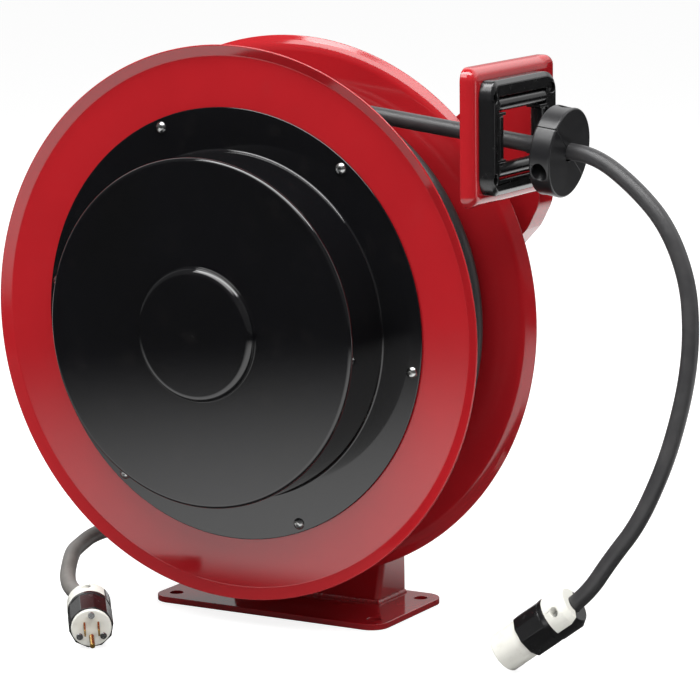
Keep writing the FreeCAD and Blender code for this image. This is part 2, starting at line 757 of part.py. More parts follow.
arm = doc.addObject("PartDesign::Body", "GuideArm")
place(arm, 0, arm_front_y, 0)
guide_low_z = guide_middle_z - guide_plate_height / 2
guide_high_z = guide_middle_z + guide_plate_height / 2
lobe_x = guide_plate_x - 14
arm_left = arm_half_width * -1
lobe_low_z = guide_low_z - lobe_drop
arm_outline = [
    (arm_left, axle_height - arm_foot), (arm_left, axle_height + arm_shoulder),
    (arm_half_width - 4, axle_height + arm_shoulder + 12), (lobe_x - 76, guide_high_z - 24),
    (lobe_x, guide_high_z - 10), (lobe_x, lobe_low_z), (lobe_x - 26, lobe_low_z - lobe_slope),
    (40, axle_height - arm_foot)]
arm_sketch = sketch_on(arm, "XZ_Plane", "ArmOutline")
draw_outline(arm_sketch, arm_outline)
feature(arm, "Pad", "ArmBlank", arm_sketch, Length=arm_flange_depth + frame_sheet, Reversed=True)
rounded(arm, "ArmCorners", arm_corner, lambda edge: isinstance(edge.Curve, Part.Line)
        and abs(abs(edge.Curve.Direction.y) - 1) < 1e-6)
doc.recompute()
arm_back = [face for face in arm.Shape.Faces if face.normalAt(0, 0).y > 0.99][0]
arm_inside = arm_back.makeOffset2D(-float(frame_sheet)).extrude(V(0, -float(arm_flange_depth), 0))
arm_cuts = [shaped("ArmInside", arm_inside)]
arm_cuts.append(cylinder("ArmShaftHole", shaft_radius + hole_clearance, 2 * frame_sheet, 0,
                         arm_front_y - frame_sheet / 2, axle_height))
bolt_angles = (45, 135, 225, 315)
for turn in bolt_angles:
    x, z = polar(frame_bolt_circle, turn)
    arm_cuts.append(cylinder("ArmBoltHole", frame_bolt_radius + hole_clearance, 2 * frame_sheet, x,
                             arm_front_y - frame_sheet / 2, axle_height + z))
pedestal_room = pedestal_width + 2 * hole_clearance
arm_cuts.append(block("ArmPedestalRoom", pedestal_room, 2 * arm_flange_depth, pedestal_height + 1,
                      pedestal_room * -0.5, pedestal_web_y, 0))
arm_shell = cut("ArmShell", arm, fused("ArmCuts", arm_cuts))

hollow_depth = arm_front_y - frame_sheet - guide_plate_front_y
tray_corner = 9.0
tray_edge = 7.0
tray_arm_edge = 5.0
tray = block("GuideTray", guide_plate_return, arm_front_y + frame_sheet - guide_plate_front_y, guide_plate_height,
             guide_plate_x - guide_plate_return, guide_plate_front_y, guide_low_z)
doc.recompute()
tray_round = doc.addObject("Part::Fillet", "GuideTrayRound")
tray_round.Base = tray
front_edges = []
for i, edge in enumerate(tray.Shape.Edges):
    middle = edge.CenterOfMass
    at_front = abs(middle.x - float(guide_plate_x)) < 0.1
    at_corner = abs(edge.Curve.Direction.x) > 0.9
    at_arm = abs(middle.y - float(arm_front_y + frame_sheet)) < 0.1
    if at_corner:
        front_edges.append((i + 1, tray_corner, tray_corner))
    elif at_front and at_arm:
        front_edges.append((i + 1, tray_arm_edge, tray_arm_edge))
    elif at_front:
        front_edges.append((i + 1, tray_edge, tray_edge))
tray_round.Edges = front_edges
tray_hollow = block("GuideTrayHollow", guide_plate_return, hollow_depth, guide_plate_height - 2 * frame_sheet,
                    guide_plate_x - guide_plate_return - frame_sheet, guide_plate_front_y + frame_sheet,
                    guide_low_z + frame_sheet)
guide_plate = cut("GuidePlateShell", tray_round, tray_hollow)
roller_room = roller_radius + 2
plate_hole_width = 2 * (roller_spread + roller_room)
plate_hole_height = 2 * (roller_rise + roller_room)
plate_hole = block("GuidePlateHole", 2 * guide_plate_return, plate_hole_width, plate_hole_height,
                   guide_plate_x - 1.5 * guide_plate_return, spool_mid_y - plate_hole_width / 2,
                   guide_middle_z - plate_hole_height / 2)
screw_inset_y = add("screw_inset_y", 7.5)
screw_inset_z = add("screw_inset_z", 13)
screw_y = guide_frame_width / 2 - screw_inset_y
screw_z = guide_frame_height / 2 - screw_inset_z
guide_screw_radius = add("guide_screw_radius", 2.4)
plate_cuts = [plate_hole]
for side_y in (-1, 1):
    for side_z in (-1, 1):
        plate_cuts.append(cylinder("GuidePlateScrewHole", guide_screw_radius + hole_clearance, 20,
                                   guide_plate_x - 15, spool_mid_y + side_y * screw_y,
                                   guide_middle_z + side_z * screw_z, (1, 0, 0)))
guide_plate_open = cut("GuidePlateOpen", guide_plate, fused("GuidePlateCuts", plate_cuts))
keep(fused("GuideArmWhole", [arm_shell, guide_plate_open]), "guide_arm")

frame_bolts = []
for turn in bolt_angles:
    x, z = polar(frame_bolt_circle, turn)
    bolt = hex_screw("FrameBolt", x, arm_front_y, axle_height + z, frame_bolt_radius, frame_nut_radius,
                     frame_nut_height * 0.8, 2 * frame_sheet + frame_nut_height + 6)
    nut = doc.addObject("Part::Prism", "FrameNut")
    bind(nut, Polygon=6, Circumradius=frame_nut_radius, Height=frame_nut_height)
    place(nut, x, nut_y, axle_height + z, FreeCAD.Rotation(V(0, 0, 1), V(0, 1, 0)))
    frame_bolts.append(fused("FrameBoltWhole", [bolt, nut]))
bolt_holes = sketch_on(pedestal, "XZ_Plane", "PedestalBoltHoles")
for turn in bolt_angles:
    x, z = polar(frame_bolt_circle, turn)
    draw_circle(bolt_holes, x, axle_height + z, frame_bolt_radius + hole_clearance)
pedestal_pocket = feature(pedestal, "Pocket", "PedestalBoltPocket", bolt_holes)
pedestal_pocket.Type = "ThroughAll"
pedestal_pocket.Midplane = True
keep(together("FrameBolts", frame_bolts), "frame_bolts")

# The pawl hangs on its pin clear of the wheel; turning it by pawl_lift seats its tip in a notch

pawl_y = ratchet_y
pawl_thickness = ratchet_thickness
seat_x, seat_z = polar(float(ratchet_radius) + 2, pawl_tip_angle)
pivot_x, pivot_z = polar(pawl_pivot_circle, pawl_pivot_angle)
lift = math.radians(float(pawl_lift))
tip_x = pivot_x + (seat_x - pivot_x) * math.cos(lift) - (seat_z - pivot_z) * math.sin(lift)
tip_z = pivot_z + (seat_x - pivot_x) * math.sin(lift) + (seat_z - pivot_z) * math.cos(lift)
boss_radius = pawl_pin_radius + 6
pivot = V(pivot_x, 0, pivot_z)
tip = V(tip_x, 0, tip_z)
forward = (tip - pivot).normalize()
outward = V(-forward.z, 0, forward.x)
heel = float(boss_radius) - 2
nose = float(pawl_tip_radius)
web = [pivot + outward * heel, tip + outward * nose, tip - forward * nose - outward * (nose / 6),
       pivot - outward * heel]
pawl_web = shaped("PawlWeb", Part.Face(Part.makePolygon(web + web[:1])).extrude(V(0, float(pawl_thickness), 0)))
place(pawl_web, 0, pawl_y, axle_height)
pawl_boss = cylinder("PawlBoss", boss_radius, pawl_thickness, pivot_x, pawl_y, axle_height + pivot_z)
pawl_tip = cylinder("PawlTip", pawl_tip_radius, pawl_thickness, tip_x, pawl_y, axle_height + tip_z)
pawl_bore = cylinder("PawlBore", pawl_pin_radius + bearing_clearance, pawl_thickness + 2, pivot_x, pawl_y - 1,
                     axle_height + pivot_z)
keep(cut("Pawl", fused("PawlSolid", [pawl_web, pawl_boss, pawl_tip]), pawl_bore), "pawl")
pin_head_height = 1.5
pin_head_y = pawl_y - running_gap - pin_head_height
pin_head = cylinder("PawlPinHead", pawl_pin_radius + 2, pin_head_height, pivot_x, pin_head_y,
                    axle_height + pivot_z)
pin_shank = cylinder("PawlPinShank", pawl_pin_radius, arm_front_y - pin_head_y, pivot_x, pin_head_y,
                     axle_height + pivot_z)
collar_y = pawl_y + pawl_thickness + running_gap
pin_collar = cylinder("PawlPinCollar", pawl_pin_radius + 4, arm_front_y - collar_y, pivot_x, collar_y,
                      axle_height + pivot_z)
keep(fused("PawlPin", [pin_shank, pin_head, pin_collar]), "pawl_pin")

# Guide frame: moulded block round the cord opening, with a pocket for each roller

frame_y = spool_mid_y
roller_x = guide_plate_x + roller_room
guide_frame = doc.addObject("PartDesign::Body", "GuideFrame")
place(guide_frame, guide_plate_x, frame_y, guide_middle_z)
frame_sketch = sketch_on(guide_frame, "YZ_Plane", "GuideFrameOutline")
half_frame = guide_frame_width / 2
half_tall = guide_frame_height / 2
draw_outline(frame_sketch, [(-half_frame, -half_tall), (half_frame, -half_tall),
                            (half_frame, half_tall), (-half_frame, half_tall)])
feature(guide_frame, "Pad", "GuideFrameBlock", frame_sketch, Length=guide_frame_depth)
rounded(guide_frame, "GuideFrameCorners", guide_frame_corner, along("x"))
rounded(guide_frame, "GuideFrameBevel", guide_frame_chamfer,
        lambda edge: abs(edge.CenterOfMass.x - float(guide_frame_depth)) < 0.01, "Chamfer")
pocket_gap = 1.0
side_room = roller_spread + roller_radius + pocket_gap
openings = sketch_on(guide_frame, "YZ_Plane", "GuideFramePockets")
long_half = long_roller / 2 + pocket_gap / 2
short_half = short_roller / 2 + running_gap
inner_half = roller_rise - roller_radius - running_gap
inner_side_half = roller_spread - roller_radius - pocket_gap
outer_rise = roller_rise + roller_radius + pocket_gap
quarter = [(long_half, outer_rise), (long_half, inner_half), (inner_side_half, inner_half),
           (inner_side_half, short_half), (side_room, short_half)]
right_half = quarter + [(y, -z) for y, z in quarter[::-1]]
draw_outline(openings, right_half + [(-y, z) for y, z in right_half[::-1]])
frame_pocket = feature(guide_frame, "Pocket", "GuideFrameOpening", openings)
frame_pocket.Type = "ThroughAll"
frame_pocket.Midplane = True
long_pin_half = long_half + 6
short_pin_half = roller_rise - roller_radius - 0.5
pin_hole = roller_pin_radius
pins = []
pin_cuts = []
for side in (-1, 1):
    z = guide_middle_z + side * roller_rise
    low_y = frame_y - long_pin_half
    pins.append(cylinder("LongPin", roller_pin_radius, 2 * long_pin_half, roller_x, low_y, z))
    pin_cuts.append(cylinder("LongPinHole", pin_hole, 2 * long_pin_half, roller_x, low_y, z))
    y = frame_y + side * roller_spread
    low_z = guide_middle_z - short_pin_half
    pins.append(cylinder("ShortPin", roller_pin_radius, 2 * short_pin_half, roller_x, y, low_z, (0, 0, 1)))
    pin_cuts.append(cylinder("ShortPinHole", pin_hole, 2 * short_pin_half, roller_x, y, low_z, (0, 0, 1)))
guide_screws = []
guide_screw_head = add("guide_screw_head", 4)
guide_screw_sink = add("guide_screw_sink", 5)
guide_screw_length = add("guide_screw_length", 22)
screw_seat_x = guide_plate_x + guide_frame_depth - guide_screw_sink
for side_y in (-1, 1):
    for side_z in (-1, 1):
        y = frame_y + side_y * screw_y
        z = guide_middle_z + side_z * screw_z
        head = cylinder("GuideScrewHead", guide_screw_head, 3, screw_seat_x, y, z, (1, 0, 0))
        shank = cylinder("GuideScrewShank", guide_screw_radius, guide_screw_length,
                         screw_seat_x - guide_screw_length, y, z, (1, 0, 0))
        guide_screws.append(fused("GuideScrew", [head, shank]))
        pin_cuts.append(cylinder("GuideScrewRecess", guide_screw_head + 0.5, guide_screw_sink + 1, screw_seat_x, y,
                                 z, (1, 0, 0)))
        pin_cuts.append(cylinder("GuideScrewHole", guide_screw_radius + hole_clearance, 2 * guide_frame_depth,
                                 guide_plate_x - guide_frame_depth, y, z, (1, 0, 0)))
keep(cut("GuideFrameWhole", guide_frame, fused("GuideFrameHoles", pin_cuts)), "guide_frame")
keep(together("RollerPins", pins), "roller_pins")
keep(together("GuideScrews", guide_screws), "guide_screws")


def roller(label, length, x, y, z, direction):
    """Roller turning freely on its pin, with rounded ends."""
    solid = cylinder(label + "Solid", roller_radius, length, x, y, z, direction)
    doc.recompute()
    rounded_ends = doc.addObject("Part::Fillet", label + "Ends")
    rounded_ends.Base = solid
    end_round = float(roller_end_round)
    rounded_ends.Edges = [(i + 1, end_round, end_round) for i, edge in enumerate(solid.Shape.Edges)
                          if isinstance(edge.Curve, Part.Circle)]
    bore = cylinder(label + "Bore", roller_pin_radius + bearing_clearance, length + 2,
                    x - direction[0], y - direction[1], z - direction[2], direction)
    return keep(cut(label + "Whole", rounded_ends, bore), label)


for label, side in (("roller_top", 1), ("roller_bottom", -1)):
    roller(label, long_roller, roller_x, frame_y - long_roller / 2, guide_middle_z + side * roller_rise, (0, 1, 0))
for label, side in (("roller_front", -1), ("roller_rear", 1)):
    roller(label, short_roller, roller_x, frame_y + side * roller_spread, guide_middle_z - short_roller / 2,
           (0, 0, 1))

# The cord's straight run, tangent to the winding, through the guide and the bumper

cord_rise = add("cord_rise", 175)
reach_x = float(roller_x)
reach_z = float(cord_rise)
reach_length = math.hypot(reach_x, reach_z)
leave_angle = math.degrees(math.atan2(reach_z, reach_x) + math.acos(float(winding_radius) / reach_length))
leave_x, leave_z = polar(winding_radius, leave_angle)
run_x = math.sin(math.radians(leave_angle))
run_z = -math.cos(math.radians(leave_angle))
along_cord = V(run_x, 0, run_z)
mid_y = float(spool_mid_y)
axle_z = float(axle_height)
wire_radius = float(cord_radius)
leave = V(leave_x, mid_y, axle_z + leave_z)
tail_length = 84
tail_end = leave + along_cord * tail_length


def on_run(x):
    """Point of the straight run at one x."""
    return leave + along_cord * ((x - leave.x) / run_x)


# Bumper: two half shells clamped on the cord, tilted to lie square to it

bumper_middle = on_run(float(bumper_x + bumper_thickness / 2))
split_turn = 53
bumper_place = FreeCAD.Placement(bumper_middle, FreeCAD.Rotation(V(0, 0, 1), along_cord).multiply(
    FreeCAD.Rotation(V(0, 0, 1), split_turn)))
half_thick = bumper_thickness / 2


def bumper_half(label, side):
    """Half disc on one side of the split, with half the cord's bore and a recess for each screw."""
    disc = cylinder(label + "Disc", bumper_radius, bumper_thickness, 0, 0, -half_thick, (0, 0, 1))
    doc.recompute()
    soft_edge = doc.addObject("Part::Fillet", label + "Edge")
    soft_edge.Base = disc
    soft_edge.Edges = [(i + 1, float(bumper_edge), float(bumper_edge)) for i, edge in enumerate(disc.Shape.Edges)
                       if isinstance(edge.Curve, Part.Circle)]
    reach = bumper_radius + bumper_thickness / 4
    other_y = bumper_split / 2 - reach if side > 0 else bumper_split * -0.5
    low_z = -half_thick - 1
    tools = [cylinder(label + "Bore", cord_radius + fit_gap, bumper_thickness + 2, 0, 0, low_z, (0, 0, 1)),
             block(label + "Other", 2 * reach, reach, bumper_thickness + 2, -reach, other_y, low_z)]
    for x in (-bumper_screw_spread, bumper_screw_spread):
        tools.append(cylinder(label + "ScrewHole", bumper_screw_radius + hole_clearance, 2 * reach, x, -reach, 0,
                              (0, 1, 0)))
        tools.append(cylinder(label + "Recess", bumper_recess_radius, bumper_radius, x, bumper_web * side, 0,
                              (0, side, 0)))
    half = cut(label + "Half", soft_edge, fused(label + "Tools", tools))
    half.Placement = bumper_place
    return keep(half, label)


bumper_half("bumper_upper", 1)
bumper_half("bumper_lower", -1)
bumper_bolts = []
bolt_head_radius = bumper_screw_radius + 2
bolt_head_height = bumper_screw_radius + 1.5
for x in (-bumper_screw_spread, bumper_screw_spread):
    shank = cylinder("BumperShank", bumper_screw_radius, 2 * bumper_web + 2, x, -bumper_web - 1, 0, (0, 1, 0))
    head_y = -bumper_web - bolt_head_height
    head = cylinder("BumperHead", bolt_head_radius, bolt_head_height, x, head_y, 0, (0, 1, 0))
    nut = cylinder("BumperNut", bolt_head_radius, bolt_head_height, x, bumper_web, 0, (0, 1, 0))
    bumper_bolts.append(fused("BumperBolt", [shank, head, nut]))
bumper_screws = together("BumperScrews", bumper_bolts)
bumper_screws.Placement = bumper_place
keep(bumper_screws, "bumper_screws")


# Cords: straight runs joined by tangent arcs

def tube_along(name, points, radius):
    """Round tube along a route; each arc is as large as its two runs allow."""
    edges = []
    start = points[0]
    radii = []
    for before, corner, after in zip(points, points[1:], points[2:]):
        back = before - corner
        ahead = after - corner
        shorter = min(back.Length, ahead.Length)
        back.normalize()
        ahead.normalize()
        turn = math.pi - back.getAngle(ahead)
        setback = 0.45 * shorter
        bend = setback / math.tan(turn / 2)
        radii.append(bend)
        first = corner + back * setback
        last = corner + ahead * setback
        inward = (back + ahead).normalize()
        centre_distance = math.hypot(bend, setback)
        middle = corner + inward * (centre_distance - bend)
        edges.append(Part.LineSegment(start, first).toShape())
        edges.append(Part.Arc(first, middle, last).toShape())
        start = last
    edges.append(Part.LineSegment(start, points[-1]).toShape())
    path = Part.Wire(edges)
    ring = Part.Wire([Part.Circle(points[0], points[1] - points[0], radius).toShape()])
    tube = path.makePipeShell([ring], True, False)
    section = math.pi * radius ** 2 * path.Length
    print("%s: length %.1f, least radius %.1f, largest %.1f, volume over section times length %.4f"
          % (name, path.Length, min(radii), max(radii), tube.Volume / section))
    return tube


inner_cord = Part.Solid(Part.makeCylinder(wire_radius, (bumper_middle - tail_end).Length, tail_end, along_cord))
keep(shaped("OutletCordInner", inner_cord), "outlet_cord_inner")

connector_nose = V(287, -124, float(fitting_sleeve_radius) * 0.75)
connector_back = V(66, 8, 50.3).normalize()
connector_entry = connector_nose + connector_back * float(connector_length)
outlet_points = [
    bumper_middle, on_run(356), V(400, -66, 426), V(433, -73, 386), V(452, -80, 338), V(457, -87, 287),
    V(450, -94, 236), V(435, -101, 189), V(413, -107, 147), V(389, -112, 110),
    connector_entry + connector_back * 19, connector_entry - connector_back * 19]
keep(shaped("OutletCordOuter", tube_along("outlet_cord_outer", outlet_points, wire_radius)), "outlet_cord_outer")


def gap_to_itself(points, skip):
    """Least distance between far parts of a line of points."""
    least = 1000
    for i, point in enumerate(points):
        for other in points[i + skip:]:
            least = min(least, (point - other).Length)
    return least


# Winding: octagonal tube on a helix of quarter-turn pairs of arcs

def helix_point(angle, start_angle, start_y, radius, pitch):
    """Point and unit direction of travel at an angle in degrees."""
    turn = math.radians(angle)
    position = V(radius * math.cos(turn), start_y + pitch * (angle - start_angle) / 360,
                 axle_z + radius * math.sin(turn))
    heading = V(-radius * math.sin(turn), pitch / (2 * math.pi), radius * math.cos(turn))
    return position, heading.normalize()


def arc_from(start, heading, end):
    """Arc that leaves start along heading and ends at end."""
    chord = end - start
    half = chord.Length / 2
    along_chord = V(chord).normalize()
    sideways = heading - along_chord * heading.dot(along_chord)
    sideways.normalize()
    rise = half * math.tan(heading.getAngle(along_chord) / 2)
    return Part.Arc(start, start + along_chord * half + sideways * rise, end).toShape()


def biarc(start, heading, end, end_heading):
    """Two arcs that join two points with the headings given there."""
    gap = end - start
    both = heading + end_heading
    scale = 2 * (1 - heading.dot(end_heading))
    across = gap.dot(both)
    reach = (-across + math.sqrt(across ** 2 + scale * gap.dot(gap))) / scale
    joint = (start + end + (heading - end_heading) * reach) * 0.5
    first = arc_from(start, heading, joint)
    second = arc_from(end, end_heading * -1, joint)
    return [first, second]


def octagon(centre, forward, flat_side, radius):
    """Regular octagon round the cord whose flats face its neighbours."""
    side = V(flat_side) - forward * V(flat_side).dot(forward)
    side.normalize()
    other = forward.cross(side)
    corner = radius / math.cos(math.pi / 8)
    points = []
    for i in range(9):
        turn = math.pi / 8 + i * math.pi / 4
        points.append(centre + side * (corner * math.cos(turn)) + other * (corner * math.sin(turn)))
    return Part.makePolygon(points)


def winding(name, first_angle, last_angle, first_y, radius, pitch, first_straight):
    """Unbroken tube of turns with a straight piece at each end."""
    steps = int(round((last_angle - first_angle) / 90))
    position, heading = helix_point(first_angle, first_angle, first_y, radius, pitch)
    if first_straight > 2 * wire_radius:
        heading = V(heading.x, 0, heading.z).normalize()
    start = position - heading * first_straight
    first_heading = heading
    edges = [Part.LineSegment(start, position).toShape()]
    for i in range(steps):
        angle = first_angle + (last_angle - first_angle) * (i + 1) / steps
        following, next_heading = helix_point(angle, first_angle, first_y, radius, pitch)
        edges += biarc(position, heading, following, next_heading)
        position, heading = following, next_heading
    end = position + heading * (2 * wire_radius)
    edges.append(Part.LineSegment(position, end).toShape())
    path = Part.Wire(edges)
    tube = path.makePipeShell([octagon(start, first_heading, V(0, 1, 0), wire_radius)], True, False)
    samples = path.discretize(Number=int(path.Length / 12))
    least = gap_to_itself(samples, int(2 * math.pi * radius / 12 * 0.8)) - 2 * wire_radius
    area = 8 * wire_radius ** 2 * math.tan(math.pi / 8)
    print("%s: length %.0f, turns %.2f, least gap to itself %.2f, volume over section times length %.4f"
          % (name, path.Length, abs(last_angle - first_angle) / 360, least, tube.Volume / (area * path.Length)))
    return tube, start, first_heading, end, heading


pitch = float(winding_pitch)
layer_gap = float(running_gap)
outer_radius = float(winding_radius)
outer_core = outer_radius - wire_radius - float(core_gap)
under_radius = outer_radius - pitch + 0.5
under_core = under_radius - wire_radius - float(core_gap)
outer_turns = 2.75
under_turns = 1.75
under_start = 200
under_y = float(front_inner_y) + wire_radius + 2 * layer_gap
outer_tube = winding("cord_winding", leave_angle, leave_angle + 360 * outer_turns, mid_y, outer_radius, pitch,
                     tail_length)
keep(shaped("CordWinding", outer_tube[0]), "cord_winding")
under_tube = winding("cord_underlayer", under_start, under_start + 360 * under_turns, under_y, under_radius, pitch,
                     2 * wire_radius)
keep(shaped("CordUnderlayer", under_tube[0]), "cord_underlayer")

# Plain core of the inner layers, stepped where the last layer ends; a ramp stands at each end of the turns

core_front = float(front_inner_y)
core_rear = float(rear_inner_y)
step_y = mid_y - wire_radius - 2 * layer_gap


def disc_of_core(radius, low_y, high_y):
    return Part.makeCylinder(radius, high_y - low_y, V(0, low_y, axle_z), V(0, 1, 0))


def ramp(end, heading, floor_radius, low_y, high_y):
    """Climb of the cord to the next layer: square to the tube's end, falling away to the core."""
    away = V(heading.x, 0, heading.z).normalize()
    foot = V(end.x, low_y, end.z) + away * layer_gap
    centre = V(0, low_y, axle_z)
    outward = (foot - centre) - away * (foot - centre).dot(away)
    outward.normalize()
    top = foot + outward * wire_radius
    bottom = centre + away * (foot - centre).dot(away) + outward * (floor_radius - 4)
    rise = (top - centre).Length - floor_radius

    def on_core(turn, extra):
        return centre + (outward * math.cos(turn) + away * math.sin(turn)) * (floor_radius + extra)

    first_turn = math.atan2((foot - centre).dot(away), (foot - centre).dot(outward))
    curve = Part.Arc(top, on_core(first_turn + 0.24, rise * 0.36), on_core(first_turn + 0.5, -1))
    foot_end = on_core(first_turn + 0.5, -1)
    edges = [curve.toShape(), Part.LineSegment(foot_end, bottom).toShape(),
             Part.LineSegment(bottom, top).toShape()]
    solid = Part.Face(Part.Wire(edges)).extrude(V(0, high_y - low_y, 0))
    return solid.cut(disc_of_core(floor_radius - 2, low_y - 1, high_y + 1))


core = disc_of_core(under_core, core_front, core_rear)
core = core.fuse(disc_of_core(outer_core, step_y, core_rear))
last_y = outer_tube[3].y
core = core.fuse(ramp(outer_tube[3], outer_tube[4], outer_core, last_y - wire_radius, core_rear))
core = core.fuse(ramp(under_tube[1], under_tube[2] * -1, under_core, core_front, under_tube[1].y + wire_radius))
core = core.fuse(ramp(under_tube[3], under_tube[4], under_core, under_tube[3].y - wire_radius, step_y))
core = core.cut(disc_of_core(float(drum_radius), core_front - 1, core_rear + 1))
keep(shaped("CordCore", core.removeSplitter()), "cord_core")


# Connector on the outlet cord and plug on the inlet cord, each along its own Y axis from its face

grip_flats = 10
groove_width = 1.4
groove_depth = 1.2
clamp_taper = 6
split_gap = 0.1
clamp_screw_radius = 1.6
clamp_screw_x = 12
clamp_screw_y = 10
clamp_seat_z = 11
clamp_screw_length = 16
recess_radius = 3.6


def fitting_place(nose, back, roll):
    """Placement with Y along back; roll turns the fitting about that axis, away from upright."""
    side = back.cross(V(0, 0, 1)).normalize()
    upright = side.cross(back)
    turn = FreeCAD.Rotation(side, back, upright, "YXZ").multiply(FreeCAD.Rotation(V(0, 1, 0), roll))
    return FreeCAD.Placement(nose, turn)


def set_fitting(items, place_there):
    for item in items:
        item.Placement = place_there.multiply(item.Placement)


def clamp_outline(first_y, length):
    """Half section of the rear end, round the cord's entry."""
    return [(0, first_y), (fitting_sleeve_radius, first_y), (fitting_sleeve_radius, length - clamp_taper),
            (fitting_sleeve_radius - 4, length), (0, length)]


def clamp_tools(name, length, half_side):
    """What the rear end leaves room for: the cord, the other half and the clamp's screws."""
    clamp_low = length - fitting_clamp_length
    wide = 2 * fitting_sleeve_radius + 4
    other_z = fitting_sleeve_radius * -1 - 2 - split_gap if half_side > 0 else split_gap * -1
    tools = [cylinder(name + "CordBore", cord_radius + fit_gap, fitting_clamp_length + 1, 0, clamp_low, 0),
             block(name + "OtherHalf", wide, fitting_clamp_length + 1, wide / 2, wide * -0.5, clamp_low, other_z)]
    for x in (-clamp_screw_x, clamp_screw_x):
        y = clamp_low + clamp_screw_y
        tools.append(cylinder(name + "ScrewHole", clamp_screw_radius, clamp_screw_length, x, y,
                              clamp_seat_z - clamp_screw_length, (0, 0, 1)))
        if half_side > 0:
            tools.append(cylinder(name + "Recess", recess_radius, fitting_sleeve_radius, x, y, clamp_seat_z,
                                  (0, 0, 1)))
    return tools


def fitting_sleeve(name, low, length):
    """Black body: flats round the white face, a groove, a collar and the half shell under the cord."""
    clamp_low = length - fitting_clamp_length
    groove_low = clamp_low - fitting_collar_length
    grip = doc.addObject("Part::Prism", name + "Grip")
    bind(grip, Polygon=grip_flats, Circumradius=fitting_sleeve_radius + 0.3, Height=groove_low - low)
    place(grip, 0, low, 0, FreeCAD.Rotation(V(0, 0, 1), V(0, 1, 0)))
    neck = turned(name + "Neck", [(0, groove_low), (fitting_sleeve_radius - groove_depth, groove_low),
                                  (fitting_sleeve_radius - groove_depth, groove_low + groove_width),
                                  (0, groove_low + groove_width)], on_axle=False)
    rear = turned(name + "Rear", clamp_outline(groove_low + groove_width, length), on_axle=False)
    tools = clamp_tools(name, length, -1)
    tools.append(cylinder(name + "FaceBore", fitting_face_radius + fit_gap / 2, groove_low - low - 1, 0,
                          low - 1, 0))
    return cut(name, fused(name + "Solid", [grip, neck, rear]), fused(name + "Tools", tools))


def fitting_clamp(name, length):
    """White clamp half over the cord, with two recessed screws."""
    clamp_low = length - fitting_clamp_length
    blank = turned(name + "Blank", clamp_outline(clamp_low, length), on_axle=False)
    return cut(name, blank, fused(name + "Tools", clamp_tools(name, length, 1)))


def fitting_face(name, length):
    """White face: a stepped plug of insulator whose rear end lies in the sleeve."""
    end_y = length - fitting_clamp_length - fitting_collar_length - 2
    return turned(name, [(0, 0), (fitting_face_radius - 1, 0), (fitting_face_radius, 1),
                         (fitting_face_radius, end_y), (0, end_y)], on_axle=False)


def small_screw(name, x, y, z, direction, length):
    """Screw whose head stands on the seat at (x, y, z); its shank runs the other way."""
    head = cylinder(name + "Head", clamp_screw_radius * 1.9, 2, x, y, z, direction)
    shank = cylinder(name + "Shank", clamp_screw_radius, length, x, y, z, [-part for part in direction])
    return fused(name, [head, shank])


def clamp_screw_pair(name, length):
    y = length - fitting_clamp_length + clamp_screw_y
    return together(name, [small_screw(name + "One", x, y, clamp_seat_z, (0, 0, 1), clamp_screw_length)
                           for x in (-clamp_screw_x, clamp_screw_x)])


blade_spread = 6.35
ground_drop = 8.5
slot_depth = 18
connector_roll = 39
slots = []
slot_middle_z = 2.5
for x, z, width, height in ((-blade_spread, slot_middle_z, 2, 8.5), (blade_spread, slot_middle_z, 2, 6.8),
                            (0, -ground_drop, 3.8, 4.8)):
    slots.append(block("ConnectorSlot", width, slot_depth, height, x - width / 2, -1, z - height / 2))
connector_face = cut("ConnectorFaceWhole", fitting_face("ConnectorFace", connector_length),
                     fused("ConnectorSlots", slots))
connector_sleeve = fitting_sleeve("ConnectorSleeve", connector_nose_length, connector_length)
connector_clamp = fitting_clamp("ConnectorClamp", connector_length)
connector_screws = clamp_screw_pair("ConnectorScrews", connector_length)
set_fitting([connector_face, connector_sleeve, connector_clamp, connector_screws],
            fitting_place(connector_nose, connector_back, connector_roll))
keep(connector_face, "connector_face")
keep(connector_sleeve, "connector_sleeve")
keep(connector_clamp, "connector_clamp")
keep(connector_screws, "connector_screws")

plug_nose = V(-76, -239, float(fitting_sleeve_radius))
plug_back = V(-0.58, 0.77, 0.18).normalize()
plug_roll = -45
blade_length = 17
blade_root = 10
blade_height = 6.4
blade_sheet = 1.6
blade_low_z = -0.2
ground_radius = 2.4
ground_length = 20
blades = []
plug_rooms = []
for x in (-blade_spread, blade_spread):
    blade = block("PlugBlade", blade_sheet, blade_length + blade_root, blade_height, x - blade_sheet / 2,
                  -blade_length, blade_low_z)
    blade_hole = cylinder("PlugBladeHole", 1.6, 4, x - 2, 5 - blade_length, blade_low_z + blade_height / 2,
                          (1, 0, 0))
    blades.append(cut("PlugBladeWhole", blade, blade_hole))
    plug_rooms.append(block("BladeRoom", blade_sheet, blade_root + 1, blade_height, x - blade_sheet / 2, -1,
                            blade_low_z))
blades.append(cylinder("PlugGround", ground_radius, ground_length + blade_root, 0, -ground_length, -ground_drop))
plug_rooms.append(cylinder("GroundRoom", ground_radius, blade_root + 1, 0, -1, -ground_drop))
face_screw_circle = 13.2
face_screw_length = 6
face_screw_list = []
for turn in (90, 215, 325):
    x, z = polar(face_screw_circle, turn)
    face_screw_list.append(small_screw("PlugFaceScrew", x, 0, z, (0, -1, 0), face_screw_length))
    plug_rooms.append(cylinder("PlugScrewRoom", clamp_screw_radius, face_screw_length + 1, x, -1, z))
plug_face = cut("PlugFaceWhole", fitting_face("PlugFace", plug_length), fused("PlugRooms", plug_rooms))
plug_sleeve = fitting_sleeve("PlugSleeve", 2, plug_length)
plug_clamp = fitting_clamp("PlugClamp", plug_length)
plug_blades = together("PlugBlades", blades)
face_screws = together("PlugFaceScrews", face_screw_list)
plug_clamp_screws = clamp_screw_pair("PlugClampScrews", plug_length)
